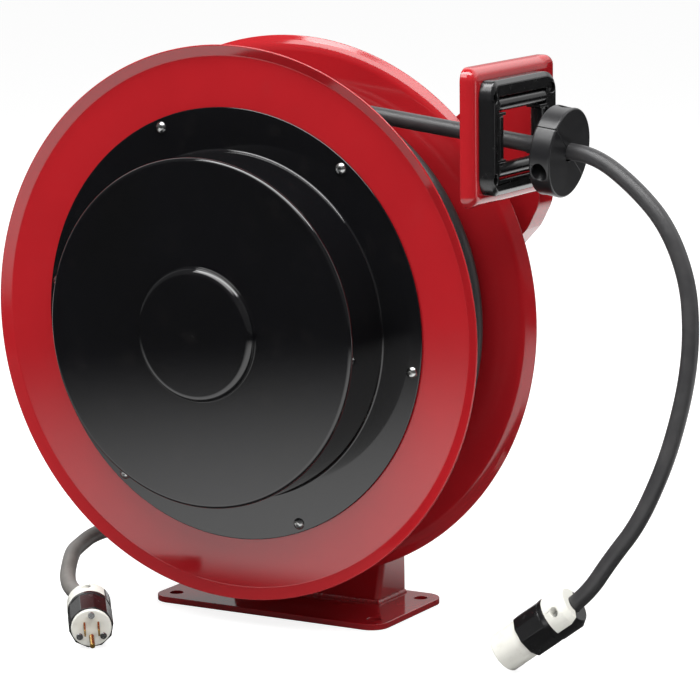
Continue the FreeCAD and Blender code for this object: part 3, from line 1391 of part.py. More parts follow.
set_fitting([plug_face, plug_blades, face_screws], fitting_place(plug_nose, plug_back, 0))
set_fitting([plug_sleeve, plug_clamp, plug_clamp_screws], fitting_place(plug_nose, plug_back, plug_roll))
keep(plug_face, "plug_face")
keep(plug_sleeve, "plug_sleeve")
keep(plug_clamp, "plug_clamp")
keep(plug_blades, "plug_blades")
keep(together("PlugScrews", [face_screws, plug_clamp_screws]), "plug_screws")

# Inlet: gland screwed into the shaft's rear end, and its cord down to the plug

gland_y = shaft_rear_y
gland_thread = 10
gland_flange = 7
gland_length = 24
gland_bore = cord_radius + fit_gap
gland_end_y = gland_y + gland_length
gland = turned("InletGland", [
    (gland_bore, gland_y - gland_thread), (shaft_bore_radius, gland_y - gland_thread),
    (shaft_bore_radius, gland_y),
    (gland_radius + 3, gland_y), (gland_radius + 3, gland_y + gland_flange),
    (gland_radius - 1, gland_y + gland_flange + 2), (gland_radius - 1, gland_end_y - 4),
    (gland_radius - 5, gland_end_y), (gland_bore, gland_end_y)])
keep(gland, "inlet_gland")
gland_mouth = float(gland_y) - gland_thread
plug_entry = plug_nose + plug_back * float(plug_length)
inlet_points = [
    V(0, gland_mouth, axle_z), V(0, gland_mouth + 79, axle_z), V(-22, 200, 268), V(-66, 226, 218),
    V(-116, 212, 166), V(-157, 168, 128), V(-182, 110, 104), V(-197, 48, 88), V(-203, -12, 76), V(-198, -66, 62),
    V(-184, -114, 49), V(-153, -148, 41), plug_entry + plug_back * 20, plug_entry - plug_back * 20]
keep(shaped("InletCord", tube_along("inlet_cord", inlet_points, wire_radius)), "inlet_cord")

# Check and write

doc.recompute()
failed = [item.Name for item in doc.Objects if "Invalid" in item.State or "Error" in item.State]
if failed:
    raise RuntimeError("objects that did not build: " + ", ".join(failed))
for item in parts_made:
    if item.Shape.isNull() or not item.Shape.isValid():
        raise RuntimeError("sub-part is not a valid solid: " + item.Label)
os.makedirs("parts", exist_ok=True)
for item in parts_made:
    item.Shape.exportStep(os.path.join("parts", item.Label + ".step"))
print("%d sub-parts written" % len(parts_made))
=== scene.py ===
"""Spring-driven extension cord reel: finishes, dressed parts, cords, studio and camera on the frame."""
import json
import math

import bmesh
import bpy
from mathutils import Matrix, Vector


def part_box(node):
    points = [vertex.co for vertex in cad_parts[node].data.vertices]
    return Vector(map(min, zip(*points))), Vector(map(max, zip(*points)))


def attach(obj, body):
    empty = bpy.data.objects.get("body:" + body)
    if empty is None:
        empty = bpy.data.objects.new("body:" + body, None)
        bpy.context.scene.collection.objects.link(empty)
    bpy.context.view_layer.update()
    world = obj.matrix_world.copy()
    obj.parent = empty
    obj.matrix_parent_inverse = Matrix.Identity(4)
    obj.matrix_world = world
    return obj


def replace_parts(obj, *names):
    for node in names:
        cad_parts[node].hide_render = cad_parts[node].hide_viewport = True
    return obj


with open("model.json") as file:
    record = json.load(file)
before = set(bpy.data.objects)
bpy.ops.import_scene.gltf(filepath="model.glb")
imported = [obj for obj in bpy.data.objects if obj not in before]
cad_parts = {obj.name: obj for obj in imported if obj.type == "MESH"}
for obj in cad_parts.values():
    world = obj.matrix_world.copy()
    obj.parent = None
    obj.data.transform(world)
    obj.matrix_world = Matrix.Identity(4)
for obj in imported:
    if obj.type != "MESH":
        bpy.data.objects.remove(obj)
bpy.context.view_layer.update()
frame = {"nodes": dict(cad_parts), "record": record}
nodes = frame["nodes"]
slot_of = {part["node"]: part["material_slot"] for part in frame["record"]["subparts"]}
body_of = {node: body for body, names in frame["record"]["behaviour"]["bodies"].items() for node in names}

# Sizes of the reel that the pieces here share, in metres

AXLE = 0.287
MIDDLE_Y = -0.057
CORD = 0.015
OUTER_TURNS = 0.2075
UNDER_TURNS = 0.1923
PITCH = 0.0157
FLANGE_Y = -0.113
LEAVE = math.radians(83.0904)
TAIL = 0.084
GUIDE_X = 0.26
GUIDE_Z = 0.471


class Value:
    """Socket of a node tree; arithmetic on it adds Math nodes."""

    def __init__(self, tree, socket):
        self.tree = tree
        self.socket = socket

    def _math(self, operation, first, second):
        return self.tree.node("ShaderNodeMath", [first, second], operation=operation)

    def __add__(self, other):
        return self._math("ADD", self, other)

    def __radd__(self, other):
        return self._math("ADD", other, self)

    def __sub__(self, other):
        return self._math("SUBTRACT", self, other)

    def __rsub__(self, other):
        return self._math("SUBTRACT", other, self)

    def __mul__(self, other):
        return self._math("MULTIPLY", self, other)

    def __rmul__(self, other):
        return self._math("MULTIPLY", other, self)

    def __truediv__(self, other):
        return self._math("DIVIDE", self, other)

    def __rtruediv__(self, other):
        return self._math("DIVIDE", other, self)

    def __pow__(self, other):
        return self._math("POWER", self, other)

    def at_least(self, other):
        return self._math("MAXIMUM", self, other)


class Tree:
    """Node tree whose nodes are added one expression at a time."""

    def __init__(self, tree):
        self.tree = tree

    def node(self, kind, sockets=(), out=0, stops=None, **settings):
        """Add a node: its settings first, then the values or links of its sockets; gives one output."""
        made = self.tree.nodes.new(kind)
        for name, value in settings.items():
            setattr(made, name, value)
        if stops:
            ramp = made.color_ramp.elements
            while len(ramp) < len(stops):
                ramp.new(0.5)
            for element, (place, colour) in zip(ramp, stops):
                element.position = place
                element.color = (*colour, 1) if len(colour) == 3 else colour
        pairs = sockets.items() if isinstance(sockets, dict) else enumerate(sockets)
        for key, value in pairs:
            socket = find_socket(made.inputs, key)
            if isinstance(value, Value):
                self.tree.links.new(value.socket, socket)
            else:
                socket.default_value = value
        return Value(self, find_socket(made.outputs, out))

    def between(self, value, low, high, first=0.0, last=1.0, **settings):
        """Where value lies from low to high, as first to last and no further."""
        sockets = {"Value": value, "From Min": low, "From Max": high, "To Min": first, "To Max": last}
        return self.node("ShaderNodeMapRange", sockets, clamp=True, **settings)

    def parts(self, vector):
        """The x, y and z of a vector."""
        split = self.tree.nodes.new("ShaderNodeSeparateXYZ")
        self.tree.links.new(vector.socket, split.inputs[0])
        return [Value(self, output) for output in split.outputs]

    def rays(self):
        """Whether a ray comes from the camera, and whether it comes off gloss."""
        path = self.tree.nodes.new("ShaderNodeLightPath")
        return [Value(self, path.outputs[kind]) for kind in ("Is Camera Ray", "Is Glossy Ray")]


def find_socket(sockets, key):
    """Socket by number, identifier or name."""
    if isinstance(key, int):
        return sockets[key]
    for socket in sockets:
        if socket.identifier == key:
            return socket
    return sockets[key]


# Finishes


class Finish(Tree):
    """Material worked out over the piece's own coordinates."""

    def __init__(self, name, **surface):
        self.material = bpy.data.materials.new(name)
        self.material.use_nodes = True
        super().__init__(self.material.node_tree)
        self.tree.nodes.clear()
        self.surface = self.tree.nodes.new("ShaderNodeBsdfPrincipled")
        output = self.tree.nodes.new("ShaderNodeOutputMaterial")
        self.tree.links.new(self.surface.outputs[0], output.inputs[0])
        self.wear(**surface)

    def wear(self, **surface):
        """Set the surface's sockets; an underscore in a name stands for a space."""
        for name, value in surface.items():
            socket = self.surface.inputs[name.replace("_", " ")]
            if isinstance(value, Value):
                self.tree.links.new(value.socket, socket)
            else:
                socket.default_value = value

    def place(self, centre=(0, 0, 0)):
        """The piece's own coordinates, counted from a centre."""
        here = self.node("ShaderNodeTexCoord", out="Object")
        return self.node("ShaderNodeVectorMath", [here, centre], operation="SUBTRACT")

    def noise(self, scale, detail=3.0, roughness=0.5, where=None):
        sockets = {"Scale": scale, "Detail": detail, "Roughness": roughness, "Vector": where or self.place()}
        return self.node("ShaderNodeTexNoise", sockets)

    def mixed(self, first, second, amount):
        sockets = {"Factor_Float": amount, "A_Color": first, "B_Color": second}
        return self.node("ShaderNodeMix", sockets, out="Result_Color", data_type="RGBA")

    def bump(self, height, distance):
        """Relief of height times distance, in metres."""
        return self.node("ShaderNodeBump", {"Height": height, "Distance": distance, "Strength": 1.0})


def rgb(*parts):
    """Linear colour from the 0 to 255 values that a screen shows."""
    linear = []
    for part in parts:
        share = part / 255
        linear.append(share / 12.92 if share <= 0.04045 else ((share + 0.055) / 1.055) ** 2.4)
    return (*linear, 1.0)


def enamel(name, colour, thin, roughness, peel):
    """Sprayed paint: orange peel, faint unevenness of the coat and a film of shop dust."""
    made = Finish(name, IOR=1.62)
    coat = made.noise(9.0, 3.0)
    dust = made.between(made.noise(38.0, 5.0, 0.62), 0.56, 0.8)
    colour_here = made.mixed(thin, colour, made.between(coat, 0.3, 0.55))
    made.wear(Base_Color=made.mixed(colour_here, rgb(150, 140, 134), dust * 0.012))
    made.wear(Roughness=roughness + 0.025 * made.noise(14.0, 4.0) + 0.03 * dust)
    relief = made.noise(420.0, 1.0) * 0.5 + made.noise(120.0, 1.0)
    made.wear(Normal=made.bump(relief, peel))
    return made.material


def plated(name, colour, shade, roughness):
    """Zinc plate: cloudy crystals and small scuffs."""
    made = Finish(name, Metallic=1.0)
    cloud = made.noise(310.0, 4.0, 0.6)
    made.wear(Base_Color=made.mixed(shade, colour, made.between(cloud, 0.35, 0.65)))
    made.wear(Roughness=roughness + 0.16 * made.between(made.noise(900.0, 3.0), 0.4, 0.75))
    made.wear(Normal=made.bump(made.noise(1400.0, 2.0), 0.00001))
    return made.material


def turned_metal(name, colour, roughness, centre):
    """Metal off the lathe: fine rings about an axis along y."""
    made = Finish(name, Metallic=1.0)
    across, along, rise = made.parts(made.place(centre))
    radius = (across * across + rise * rise) ** 0.5
    rings = made.node("ShaderNodeTexNoise", {"W": radius * 2600.0, "Scale": 1.0, "Detail": 2.0},
                      noise_dimensions="1D")
    stain = made.noise(60.0, 4.0, 0.6)
    dull = tuple(0.55 * part for part in colour[:3]) + (1.0,)
    made.wear(Base_Color=made.mixed(dull, colour, made.between(stain, 0.25, 0.6)))
    made.wear(Roughness=roughness + 0.14 * rings + 0.12 * made.between(stain, 0.5, 0.8))
    made.wear(Normal=made.bump(rings, 0.00002))
    return made.material


def moulded(name, colour, worn, roughness, grain, depth, ior=1.5):
    """Moulded plastic or rubber: fine grain, scuffs and a little dust in the hollows of the grain."""
    made = Finish(name, IOR=ior)
    scuff = made.between(made.noise(70.0, 5.0, 0.65), 0.55, 0.75)
    made.wear(Base_Color=made.mixed(colour, worn, scuff * 0.5 + 0.12 * made.noise(900.0, 2.0)))
    made.wear(Roughness=roughness + 0.12 * scuff + 0.06 * made.noise(240.0, 3.0))
    made.wear(Normal=made.bump(made.noise(grain, 2.0), depth))
    return made.material


def jacket(name, colour, dusty, cover, roughness):
    """Extruded cord jacket: faint lengthwise unevenness, rubbed places and dust."""
    made = Finish(name, IOR=1.47)
    dust = made.between(made.noise(46.0, 6.0, 0.68), 0.42, 0.74)
    rub = made.between(made.noise(17.0, 3.0), 0.45, 0.7)
    made.wear(Base_Color=made.mixed(colour, dusty, cover * (0.35 + 0.65 * dust)))
    made.wear(Roughness=roughness + 0.12 * dust - 0.07 * rub)
    relief = made.noise(1500.0, 2.0) * 0.5 + made.noise(260.0, 2.0)
    made.wear(Normal=made.bump(relief, 0.00006))
    return made.material


red_enamel = enamel("red_enamel", rgb(164, 28, 34), rgb(158, 26, 32), 0.085, 0.000007)
black_enamel = enamel("black_enamel", rgb(13, 13, 15), rgb(12, 12, 13), 0.04, 0.000005)
bright_zinc = plated("bright_zinc", rgb(206, 206, 204), rgb(150, 152, 153), 0.16)
finishes = {
    "red_paint": red_enamel,
    "black_paint": black_enamel,
    "zinc": bright_zinc,
    "bare_steel": turned_metal("turned_steel", rgb(160, 160, 158), 0.26, (0, 0, AXLE)),
    "brass": plated("polished_brass", rgb(214, 176, 98), rgb(186, 146, 74), 0.17),
    "brush_carbon": moulded("brush_carbon", rgb(26, 26, 27), rgb(60, 60, 60), 0.62, 1400.0, 0.00003),
    "insulator": moulded("brown_laminate", rgb(92, 54, 33), rgb(120, 82, 52), 0.48, 900.0, 0.00003),
    "gasket_rubber": moulded("gasket_rubber", rgb(20, 20, 20), rgb(46, 45, 44), 0.75, 1200.0, 0.00004),
    "black_nylon": moulded("black_nylon", rgb(17, 17, 18), rgb(28, 28, 29), 0.2, 500.0, 0.000003, 1.6),
    "bumper_rubber": moulded("bumper_rubber", rgb(24, 24, 26), rgb(38, 37, 37), 0.3, 900.0, 0.00001),
    "cord_jacket": jacket("black_jacket", rgb(42, 42, 44), rgb(92, 90, 88), 0.24, 0.4),
    "inlet_jacket": jacket("dusty_jacket", rgb(86, 84, 82), rgb(128, 124, 119), 0.8, 0.5),
    "gland_plastic": moulded("gland_plastic", rgb(20, 20, 21), rgb(52, 52, 52), 0.4, 800.0, 0.00003),
    "white_nylon": moulded("warm_white_nylon", rgb(224, 223, 215), rgb(194, 191, 182), 0.3, 500.0, 0.00002),
    "sleeve_plastic": moulded("sleeve_plastic", rgb(16, 16, 17), rgb(42, 42, 43), 0.2, 800.0, 0.00002, 1.6),
}

# Shapes from the frame


def ease(share):
    """Smooth step from 0 to 1."""
    share = min(1, max(0, share))
    return share * share * (3 - 2 * share)


def merged(node):
    """Copy of a node's mesh with its loose triangles joined and its flat facets made whole."""
    shape = bmesh.new()
    shape.from_mesh(nodes[node].data)
    bmesh.ops.remove_doubles(shape, verts=shape.verts, dist=0.00001)
    bmesh.ops.dissolve_limit(shape, angle_limit=math.radians(0.4), verts=shape.verts, edges=shape.edges)
    return shape


def islands(node):
    """Lowest and highest corner of each separate solid of a node."""
    shape = merged(node)
    seen = set()
    found = []
    for first in shape.verts:
        if first.index in seen:
            continue
        seen.add(first.index)
        queue = [first]
        low = first.co.copy()
        high = first.co.copy()
        while queue:
            vert = queue.pop()
            low = Vector(map(min, low, vert.co))
            high = Vector(map(max, high, vert.co))
            for edge in vert.link_edges:
                other = edge.other_vert(vert)
                if other.index not in seen:
                    seen.add(other.index)
                    queue.append(other)
        found.append((low, high))
    shape.free()
    return found


def as_piece(name, mesh, body, slot):
    """New piece at the origin that rides on a body and takes a slot's finish."""
    piece = bpy.data.objects.new(name, mesh)
    bpy.context.scene.collection.objects.link(piece)
    mesh.materials.clear()
    mesh.materials.append(finishes[slot])
    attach(piece, body)
    return piece


def baked(maker):
    """Plain mesh of an object with its modifiers applied; the object and its modifiers go."""
    bpy.context.view_layer.update()
    evaluated = maker.evaluated_get(bpy.context.evaluated_depsgraph_get())
    mesh = bpy.data.meshes.new_from_object(evaluated)
    maker.modifiers.clear()
    bpy.data.objects.remove(maker)
    return mesh


def bevelled(mesh, width, segments=2, sharper_than=35):
    """Mesh with its sharp edges rounded and its flat faces kept flat."""
    maker = bpy.data.objects.new("maker", mesh)
    bpy.context.scene.collection.objects.link(maker)
    mesh.shade_smooth()
    round_off = maker.modifiers.new("edges", "BEVEL")
    round_off.width = width
    round_off.segments = segments
    round_off.limit_method = "ANGLE"
    round_off.angle_limit = math.radians(sharper_than)
    round_off.use_clamp_overlap = False
    round_off.harden_normals = True
    weights = maker.modifiers.new("weights", "WEIGHTED_NORMAL")
    weights.keep_sharp = True
    return baked(maker)


def dressed(node, width=0.0004, segments=2, reshape=None):
    """Rounded copy of a node that stands for it, first reshaped where a function for that is given."""
    shape = merged(node)
    if reshape:
        reshape(shape)
    mesh = bpy.data.meshes.new(node + "_dressed")
    shape.to_mesh(mesh)
    shape.free()
    piece = as_piece(node + "_dressed", bevelled(mesh, width, segments), body_of[node], slot_of[node])
    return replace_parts(piece, node)


def lower_shoulder(shape):
    """Bring the arm's shoulder down behind the rear disc, as it stands in the photograph."""
    drop = 0.028
    for vert in shape.verts:
        if 0.12 < vert.co.x < 0.22 and vert.co.z > 0.44 and vert.co.y > 0.029:
            vert.co.z -= drop


def sweep_in_lobe(shape):
    """Draw the arm's edge below the guide plate into one large arc; the numbers are millimetres."""
    deepest, low, high = 9.7, 300, 400
    for level in range(low, high + 4, 4):
        cut = shape.verts[:] + shape.edges[:] + shape.faces[:]
        bmesh.ops.bisect_plane(shape, geom=cut, plane_co=(0, 0, level / 1000), plane_no=(0, 0, 1))
    for vert in shape.verts:
        x, z = 1000 * vert.co.x, 1000 * vert.co.z
        inward = deepest * ease((high - z) / 27) * ease((z - low) / 47) * ease((x - 150) / 55)
        vert.co.x -= inward / 1000


def widen_rolls(shape):
    """Roll the guide plate's edges wider than its solid does, where they meet its face."""
    face, low, high, front = GUIDE_X, 0.409, 0.533, -0.123
    roll = 0.012
    fading = 0.024
    plate_from = 0.245
    bent_from = 0.2459
    for back in (0.0045, 0.0075, 0.0095, roll):
        for place, way in (((face - back, 0, 0), (1, 0, 0)), ((0, 0, low + back), (0, 0, 1)),
                           ((0, 0, high - back), (0, 0, 1)), ((0, front + back, 0), (0, 1, 0)),
                           ((0, fading - back, 0), (0, 1, 0))):
            facets = [facet for facet in shape.faces if facet.calc_center_median().x > plate_from]
            sides = list({edge for facet in facets for edge in facet.edges})
            corners = list({vert for facet in facets for vert in facet.verts})
            bmesh.ops.bisect_plane(shape, geom=facets + sides + corners, plane_co=place, plane_no=way)
    inner_low = Vector((0, front + roll, low + roll))
    inner_high = Vector((face - roll, 1, high - roll))
    for vert in shape.verts:
        if vert.co.x < bent_from or vert.co.y > fading or vert.co.z < low - 0.001:
            continue
        nearest = Vector(max(least, min(most, part))
                         for part, least, most in zip(vert.co, inner_low, inner_high))
        away = (vert.co - nearest).length
        if away > roll:
            share = ease((fading - vert.co.y) / roll)
            vert.co = nearest + (vert.co - nearest) * (1 + share * (roll / away - 1))


def shape_arm(shape):
    """The arm's drawn shapes: its shoulder, its lobe and the guide plate's rolled edges."""
    lower_shoulder(shape)
    sweep_in_lobe(shape)
    widen_rolls(shape)


def draw_out_frame(shape):
    """Move the guide frame's outer walls a little, and leave the rollers' pockets where they are."""
    for vert in shape.verts:
        vert.co.x = GUIDE_X + 0.92 * (vert.co.x - GUIDE_X)
        across = vert.co.y - MIDDLE_Y
        rise = vert.co.z - GUIDE_Z
        vert.co.y += 0.6 * max(across - 0.048, 0) + 0.3 * max(-across - 0.048, 0)
        vert.co.z += math.copysign(0.18 * max(abs(rise) - 0.037, 0), rise)


# Recipes for what repeats


class Recipe(Tree):
    """Geometry Nodes tree with named sizes, which makes one plain mesh."""

    kinds = {float: "NodeSocketFloat", int: "NodeSocketInt"}

    def __init__(self, name, **sizes):
        group = bpy.data.node_groups.new(name, "GeometryNodeTree")
        super().__init__(group)
        face = group.interface
        face.new_socket("Geometry", in_out="INPUT", socket_type="NodeSocketGeometry")
        self.identifiers = {}
        for size, value in sizes.items():
            socket = face.new_socket(size, in_out="INPUT", socket_type=self.kinds[type(value)])
            socket.default_value = value
            self.identifiers[size] = socket.identifier
        finish = face.new_socket("finish", in_out="INPUT", socket_type="NodeSocketMaterial")
        self.identifiers["finish"] = finish.identifier
        face.new_socket("Geometry", in_out="OUTPUT", socket_type="NodeSocketGeometry")
        self.given = group.nodes.new("NodeGroupInput")
        self.start = Value(self, self.given.outputs[0])

    def size(self, name):
        return Value(self, find_socket(self.given.outputs, self.identifiers[name]))

    def vector(self, x, y, z):
        return self.node("ShaderNodeCombineXYZ", [x, y, z])

    def moved(self, geometry, offset):
        return self.node("GeometryNodeTransform", {"Geometry": geometry, "Translation": offset})

    def joined(self, *parts):
        join = self.tree.nodes.new("GeometryNodeJoinGeometry")
        for part in parts:
            self.tree.links.new(part.socket, join.inputs[0])
        return Value(self, join.outputs[0])

    def attribute(self, name, kind):
        return self.node("GeometryNodeInputNamedAttribute", {"Name": name}, data_type=kind)

    def chance(self, low, high, seed):
        """Number from low to high, by chance for each instance."""
        sockets = {"Min_001": low, "Max_001": high, "Seed": seed}
        return self.node("FunctionNodeRandomValue", sockets, out="Value_001", data_type="FLOAT")

    def circle(self, steps, radius):
        sockets = {"Resolution": steps, "Radius": radius}
        return self.node("GeometryNodeCurvePrimitiveCircle", sockets, mode="RADIUS")

    def cylinder(self, sides, radius, length):
        sockets = {"Vertices": sides, "Radius": radius, "Depth": length}
        return self.node("GeometryNodeMeshCylinder", sockets)

    def cone(self, sides, top, bottom, length):
        sockets = {"Vertices": sides, "Radius Top": top, "Radius Bottom": bottom, "Depth": length}
        return self.node("GeometryNodeMeshCone", sockets)

    def along_line(self):
        """Rotation that turns an instance's x along the curve it stands on."""
        tangent = self.node("GeometryNodeInputTangent")
        return self.node("FunctionNodeAlignRotationToVector", {"Vector": tangent}, axis="X")

    def upright(self, geometry):
        """Geometry drawn about z, turned to stand about y."""
        return self.node("GeometryNodeTransform", {"Geometry": geometry, "Rotation": (math.pi / 2, 0, 0)})

    def smooth(self, geometry):
        return self.node("GeometryNodeSetShadeSmooth", {"Geometry": geometry})

    def finished(self, geometry):
        """End of the tree: real geometry with its finish."""
        real = self.node("GeometryNodeRealizeInstances", [geometry])
        done = self.node("GeometryNodeSetMaterial", {"Geometry": real, "Material": self.size("finish")})
        output = self.tree.nodes.new("NodeGroupOutput")
        self.tree.links.new(done.socket, output.inputs[0])

    def make(self, name, mesh, body, slot, **sizes):
        """Piece that the tree makes from a mesh of points or edges."""
        maker = bpy.data.objects.new("maker", mesh)
        bpy.context.scene.collection.objects.link(maker)
        modifier = maker.modifiers.new("recipe", "NODES")
        modifier.node_group = self.tree
        modifier[self.identifiers["finish"]] = finishes[slot]
        for size, value in sizes.items():
            modifier[self.identifiers[size]] = value
        return as_piece(name, baked(maker), body, slot)


def spots(name, places, edges=(), **vectors):
    """Mesh of bare points, with vector or number attributes for a recipe to read."""
    mesh = bpy.data.meshes.new(name)
    mesh.from_pydata([tuple(place) for place in places], list(edges), [])
    for label, values in vectors.items():
        if isinstance(values[0], (int, float)):
            mesh.attributes.new(label, "FLOAT", "POINT").data.foreach_set("value", values)
        else:
            flat = [part for value in values for part in value]
            mesh.attributes.new(label, "FLOAT_VECTOR", "POINT").data.foreach_set("vector", flat)
    return mesh


def facing_points(recipe, instance):
    """Instances on the given points, each turned to its facing and then about it by chance."""
    nearly_round = 6.28
    facing = recipe.attribute("facing", "FLOAT_VECTOR")
    aligned = recipe.node("FunctionNodeAlignRotationToVector", {"Vector": facing}, axis="Z")
    about = recipe.vector(0.0, 0.0, recipe.chance(0.0, nearly_round, 7))
    turn = recipe.node("FunctionNodeEulerToRotation", [about])
    turned = recipe.node("FunctionNodeRotateRotation", {"Rotation": aligned, "Rotate By": turn},
                         rotation_space="LOCAL")
    return recipe.node("GeometryNodeInstanceOnPoints", {"Points": recipe.start, "Instance": instance,
                                                        "Rotation": turned})


def dome(recipe, radius, height, segments=32, rings=16):
    """Flat-based cap: a ball whose lower half is pressed flat."""
    ball = recipe.node("GeometryNodeMeshUVSphere", {"Segments": segments, "Rings": rings, "Radius": 1.0})
    x, y, z = recipe.parts(recipe.node("GeometryNodeInputPosition"))
    pressed = recipe.vector(x * radius, y * radius, z.at_least(0.0) * height)
    return recipe.node("GeometryNodeSetPosition", {"Geometry": ball, "Position": pressed})


HEXAGON_RADIUS = 0.577


def headed_screws(name, slotted):
    """Round-headed screws, each with a hexagon socket or a slot cut in its head."""
    recipe = Recipe(name, head_radius=0.005, head_height=0.003, recess_width=0.003, recess_depth=0.0016,
                    shank_radius=0.0025, shank_length=0.004)
    radius, height = recipe.size("head_radius"), recipe.size("head_height")
    width, depth = recipe.size("recess_width"), recipe.size("recess_depth")
    cap = dome(recipe, radius, height)
    if slotted:
        cutter = recipe.node("GeometryNodeMeshCube", {"Size": recipe.vector(radius * 2.4, width, depth * 2)})
    else:
        cutter = recipe.cylinder(6, width * HEXAGON_RADIUS, depth * 2)
    cutter = recipe.moved(cutter, recipe.vector(0.0, 0.0, height))
    cut = recipe.tree.nodes.new("GeometryNodeMeshBoolean")
    cut.operation = "DIFFERENCE"
    recipe.tree.links.new(cap.socket, cut.inputs[0])
    recipe.tree.links.new(cutter.socket, cut.inputs[1])
    length = recipe.size("shank_length")
    shank = recipe.cylinder(16, recipe.size("shank_radius"), length)
    shank = recipe.moved(shank, recipe.vector(0.0, 0.0, length * -0.5))
    recipe.finished(facing_points(recipe, recipe.joined(Value(recipe, cut.outputs[0]), shank)))
    return recipe


def hexagon_nuts():
    """Washer, chamfered hexagon and the end of the bolt that stands out of it."""
    recipe = Recipe("hexagon_nuts", nut_radius=0.0092, nut_height=0.008, washer_radius=0.0115,
                    washer_height=0.0012, stud_radius=0.005, stud_length=0.014)
    radius, height = recipe.size("nut_radius"), recipe.size("nut_height")
    washer_height = recipe.size("washer_height")
    washer = recipe.cylinder(32, recipe.size("washer_radius"), washer_height)
    washer = recipe.moved(washer, recipe.vector(0.0, 0.0, washer_height * 0.5))
    flats = recipe.cone(6, radius, radius, height * 0.82)
    flats = recipe.moved(flats, recipe.vector(0.0, 0.0, washer_height))
    crown = recipe.cone(6, radius * 0.84, radius, height * 0.18)
    crown = recipe.moved(crown, recipe.vector(0.0, 0.0, washer_height + height * 0.82))
    length = recipe.size("stud_length")
    stud_radius = recipe.size("stud_radius")
    stud = recipe.cone(24, stud_radius, stud_radius, length)
    tip = recipe.cone(24, stud_radius * 0.8, stud_radius, stud_radius * 0.25)
    tip = recipe.moved(tip, recipe.vector(0.0, 0.0, length))
    recipe.finished(facing_points(recipe, recipe.joined(washer, flats, crown, stud, tip)))
    return recipe


def weld_bead():
    """Overlapping ripples laid along a line of edges."""
    recipe = Recipe("weld_bead", step=0.0026, ripple_width=0.0032, ripple_height=0.0028)
    line = recipe.node("GeometryNodeMeshToCurve", {"Mesh": recipe.start})
    even = recipe.node("GeometryNodeResampleCurve", {"Curve": line, "Length": recipe.size("step")},
                       mode="LENGTH")
    along = recipe.along_line()
    width, height = recipe.size("ripple_width"), recipe.size("ripple_height")
    ball = recipe.node("GeometryNodeMeshUVSphere", {"Segments": 12, "Rings": 7, "Radius": 1.0})
    chance = recipe.chance(0.88, 1.12, 3)
    size = recipe.vector(width * 0.9 * chance, width * chance, height * chance)
    beads = recipe.node("GeometryNodeInstanceOnPoints", {"Points": even, "Instance": ball, "Rotation": along,
                                                         "Scale": size})
    recipe.finished(recipe.smooth(beads))
    return recipe


def cord_rings():
    """Turns of cord side by side: a ring about the axle for each point, as large as its radius."""
    recipe = Recipe("cord_rings", cord_diameter=CORD, steps=120)
    radius = recipe.attribute("ring_radius", "FLOAT")
    ring = recipe.upright(recipe.circle(recipe.size("steps"), 1.0))
    rings = recipe.node("GeometryNodeInstanceOnPoints", {"Points": recipe.start, "Instance": ring,
                                                         "Scale": recipe.vector(radius, 1.0, radius)})
    real = recipe.node("GeometryNodeRealizeInstances", [rings])
    jacket_outline = recipe.circle(20, recipe.size("cord_diameter") * 0.5)
    tubes = recipe.node("GeometryNodeCurveToMesh", {"Curve": real, "Profile Curve": jacket_outline})
    recipe.finished(recipe.smooth(tubes))
    return recipe


def turned_sheet():
    """Section drawn as radius and y, swept once round the axle on a small circle."""
    guide_radius = 0.01
    recipe = Recipe("turned_sheet", steps=256, axle_height=AXLE)
    outline = recipe.node("GeometryNodeMeshToCurve", {"Mesh": recipe.start})
    outline = recipe.moved(outline, (-guide_radius, 0.0, 0.0))
    circle = recipe.circle(recipe.size("steps"), guide_radius)
    swept = recipe.node("GeometryNodeCurveToMesh", {"Curve": circle, "Profile Curve": outline})
    placed = recipe.moved(recipe.upright(swept), recipe.vector(0.0, 0.0, recipe.size("axle_height")))
    welded = recipe.node("GeometryNodeMergeByDistance", {"Geometry": placed, "Distance": 0.000002})
    recipe.finished(recipe.smooth(welded))
    return recipe


def ribs_round():
    """Grip ribs round a cap on the axle."""
    recipe = Recipe("ribs_round", count=18, circle_radius=0.0163, rib_width=0.0018, rib_depth=0.0016,
                    rib_length=0.009)
    circle = recipe.circle(recipe.size("count"), recipe.size("circle_radius"))
    along = recipe.along_line()
    rod = recipe.cylinder(10, 0.5, 1.0)
    size = recipe.vector(recipe.size("rib_width"), recipe.size("rib_depth"), recipe.size("rib_length"))
    ribs = recipe.node("GeometryNodeInstanceOnPoints", {"Points": circle, "Instance": rod, "Rotation": along,
                                                        "Scale": size})
    cap = recipe.upright(recipe.smooth(ribs))
    recipe.finished(recipe.node("GeometryNodeInstanceOnPoints", {"Points": recipe.start, "Instance": cap}))
    return recipe


# Camera

AZIMUTH = math.radians(30.235)
ELEVATION = math.radians(10.165)
ROLL = math.radians(-0.720)
CAMERA_PLACE = (1.5910, -2.6244, 0.7952)
LENS = 168.64
SENSOR = 36


def place_camera():
    """Camera at the photograph's viewing angle, looking down a little at the front and the guide's side."""
    ahead = Vector((-math.sin(AZIMUTH) * math.cos(ELEVATION), math.cos(AZIMUTH) * math.cos(ELEVATION),
                    -math.sin(ELEVATION)))
    level = ahead.cross(Vector((0, 0, 1))).normalized()
    above = level.cross(ahead)
    right = level * math.cos(ROLL) + above * math.sin(ROLL)
    up = above * math.cos(ROLL) - level * math.sin(ROLL)
    camera = bpy.data.objects.new("camera", bpy.data.cameras.new("camera"))
    bpy.context.scene.collection.objects.link(camera)
    turn = Matrix((right, up, -ahead)).transposed()
    camera.matrix_world = Matrix.Translation(CAMERA_PLACE) @ turn.to_4x4()
    camera.data.lens = LENS
    camera.data.sensor_width = SENSOR
    camera.data.clip_end = 60
    bpy.context.scene.camera = camera


place_camera()

# Cords


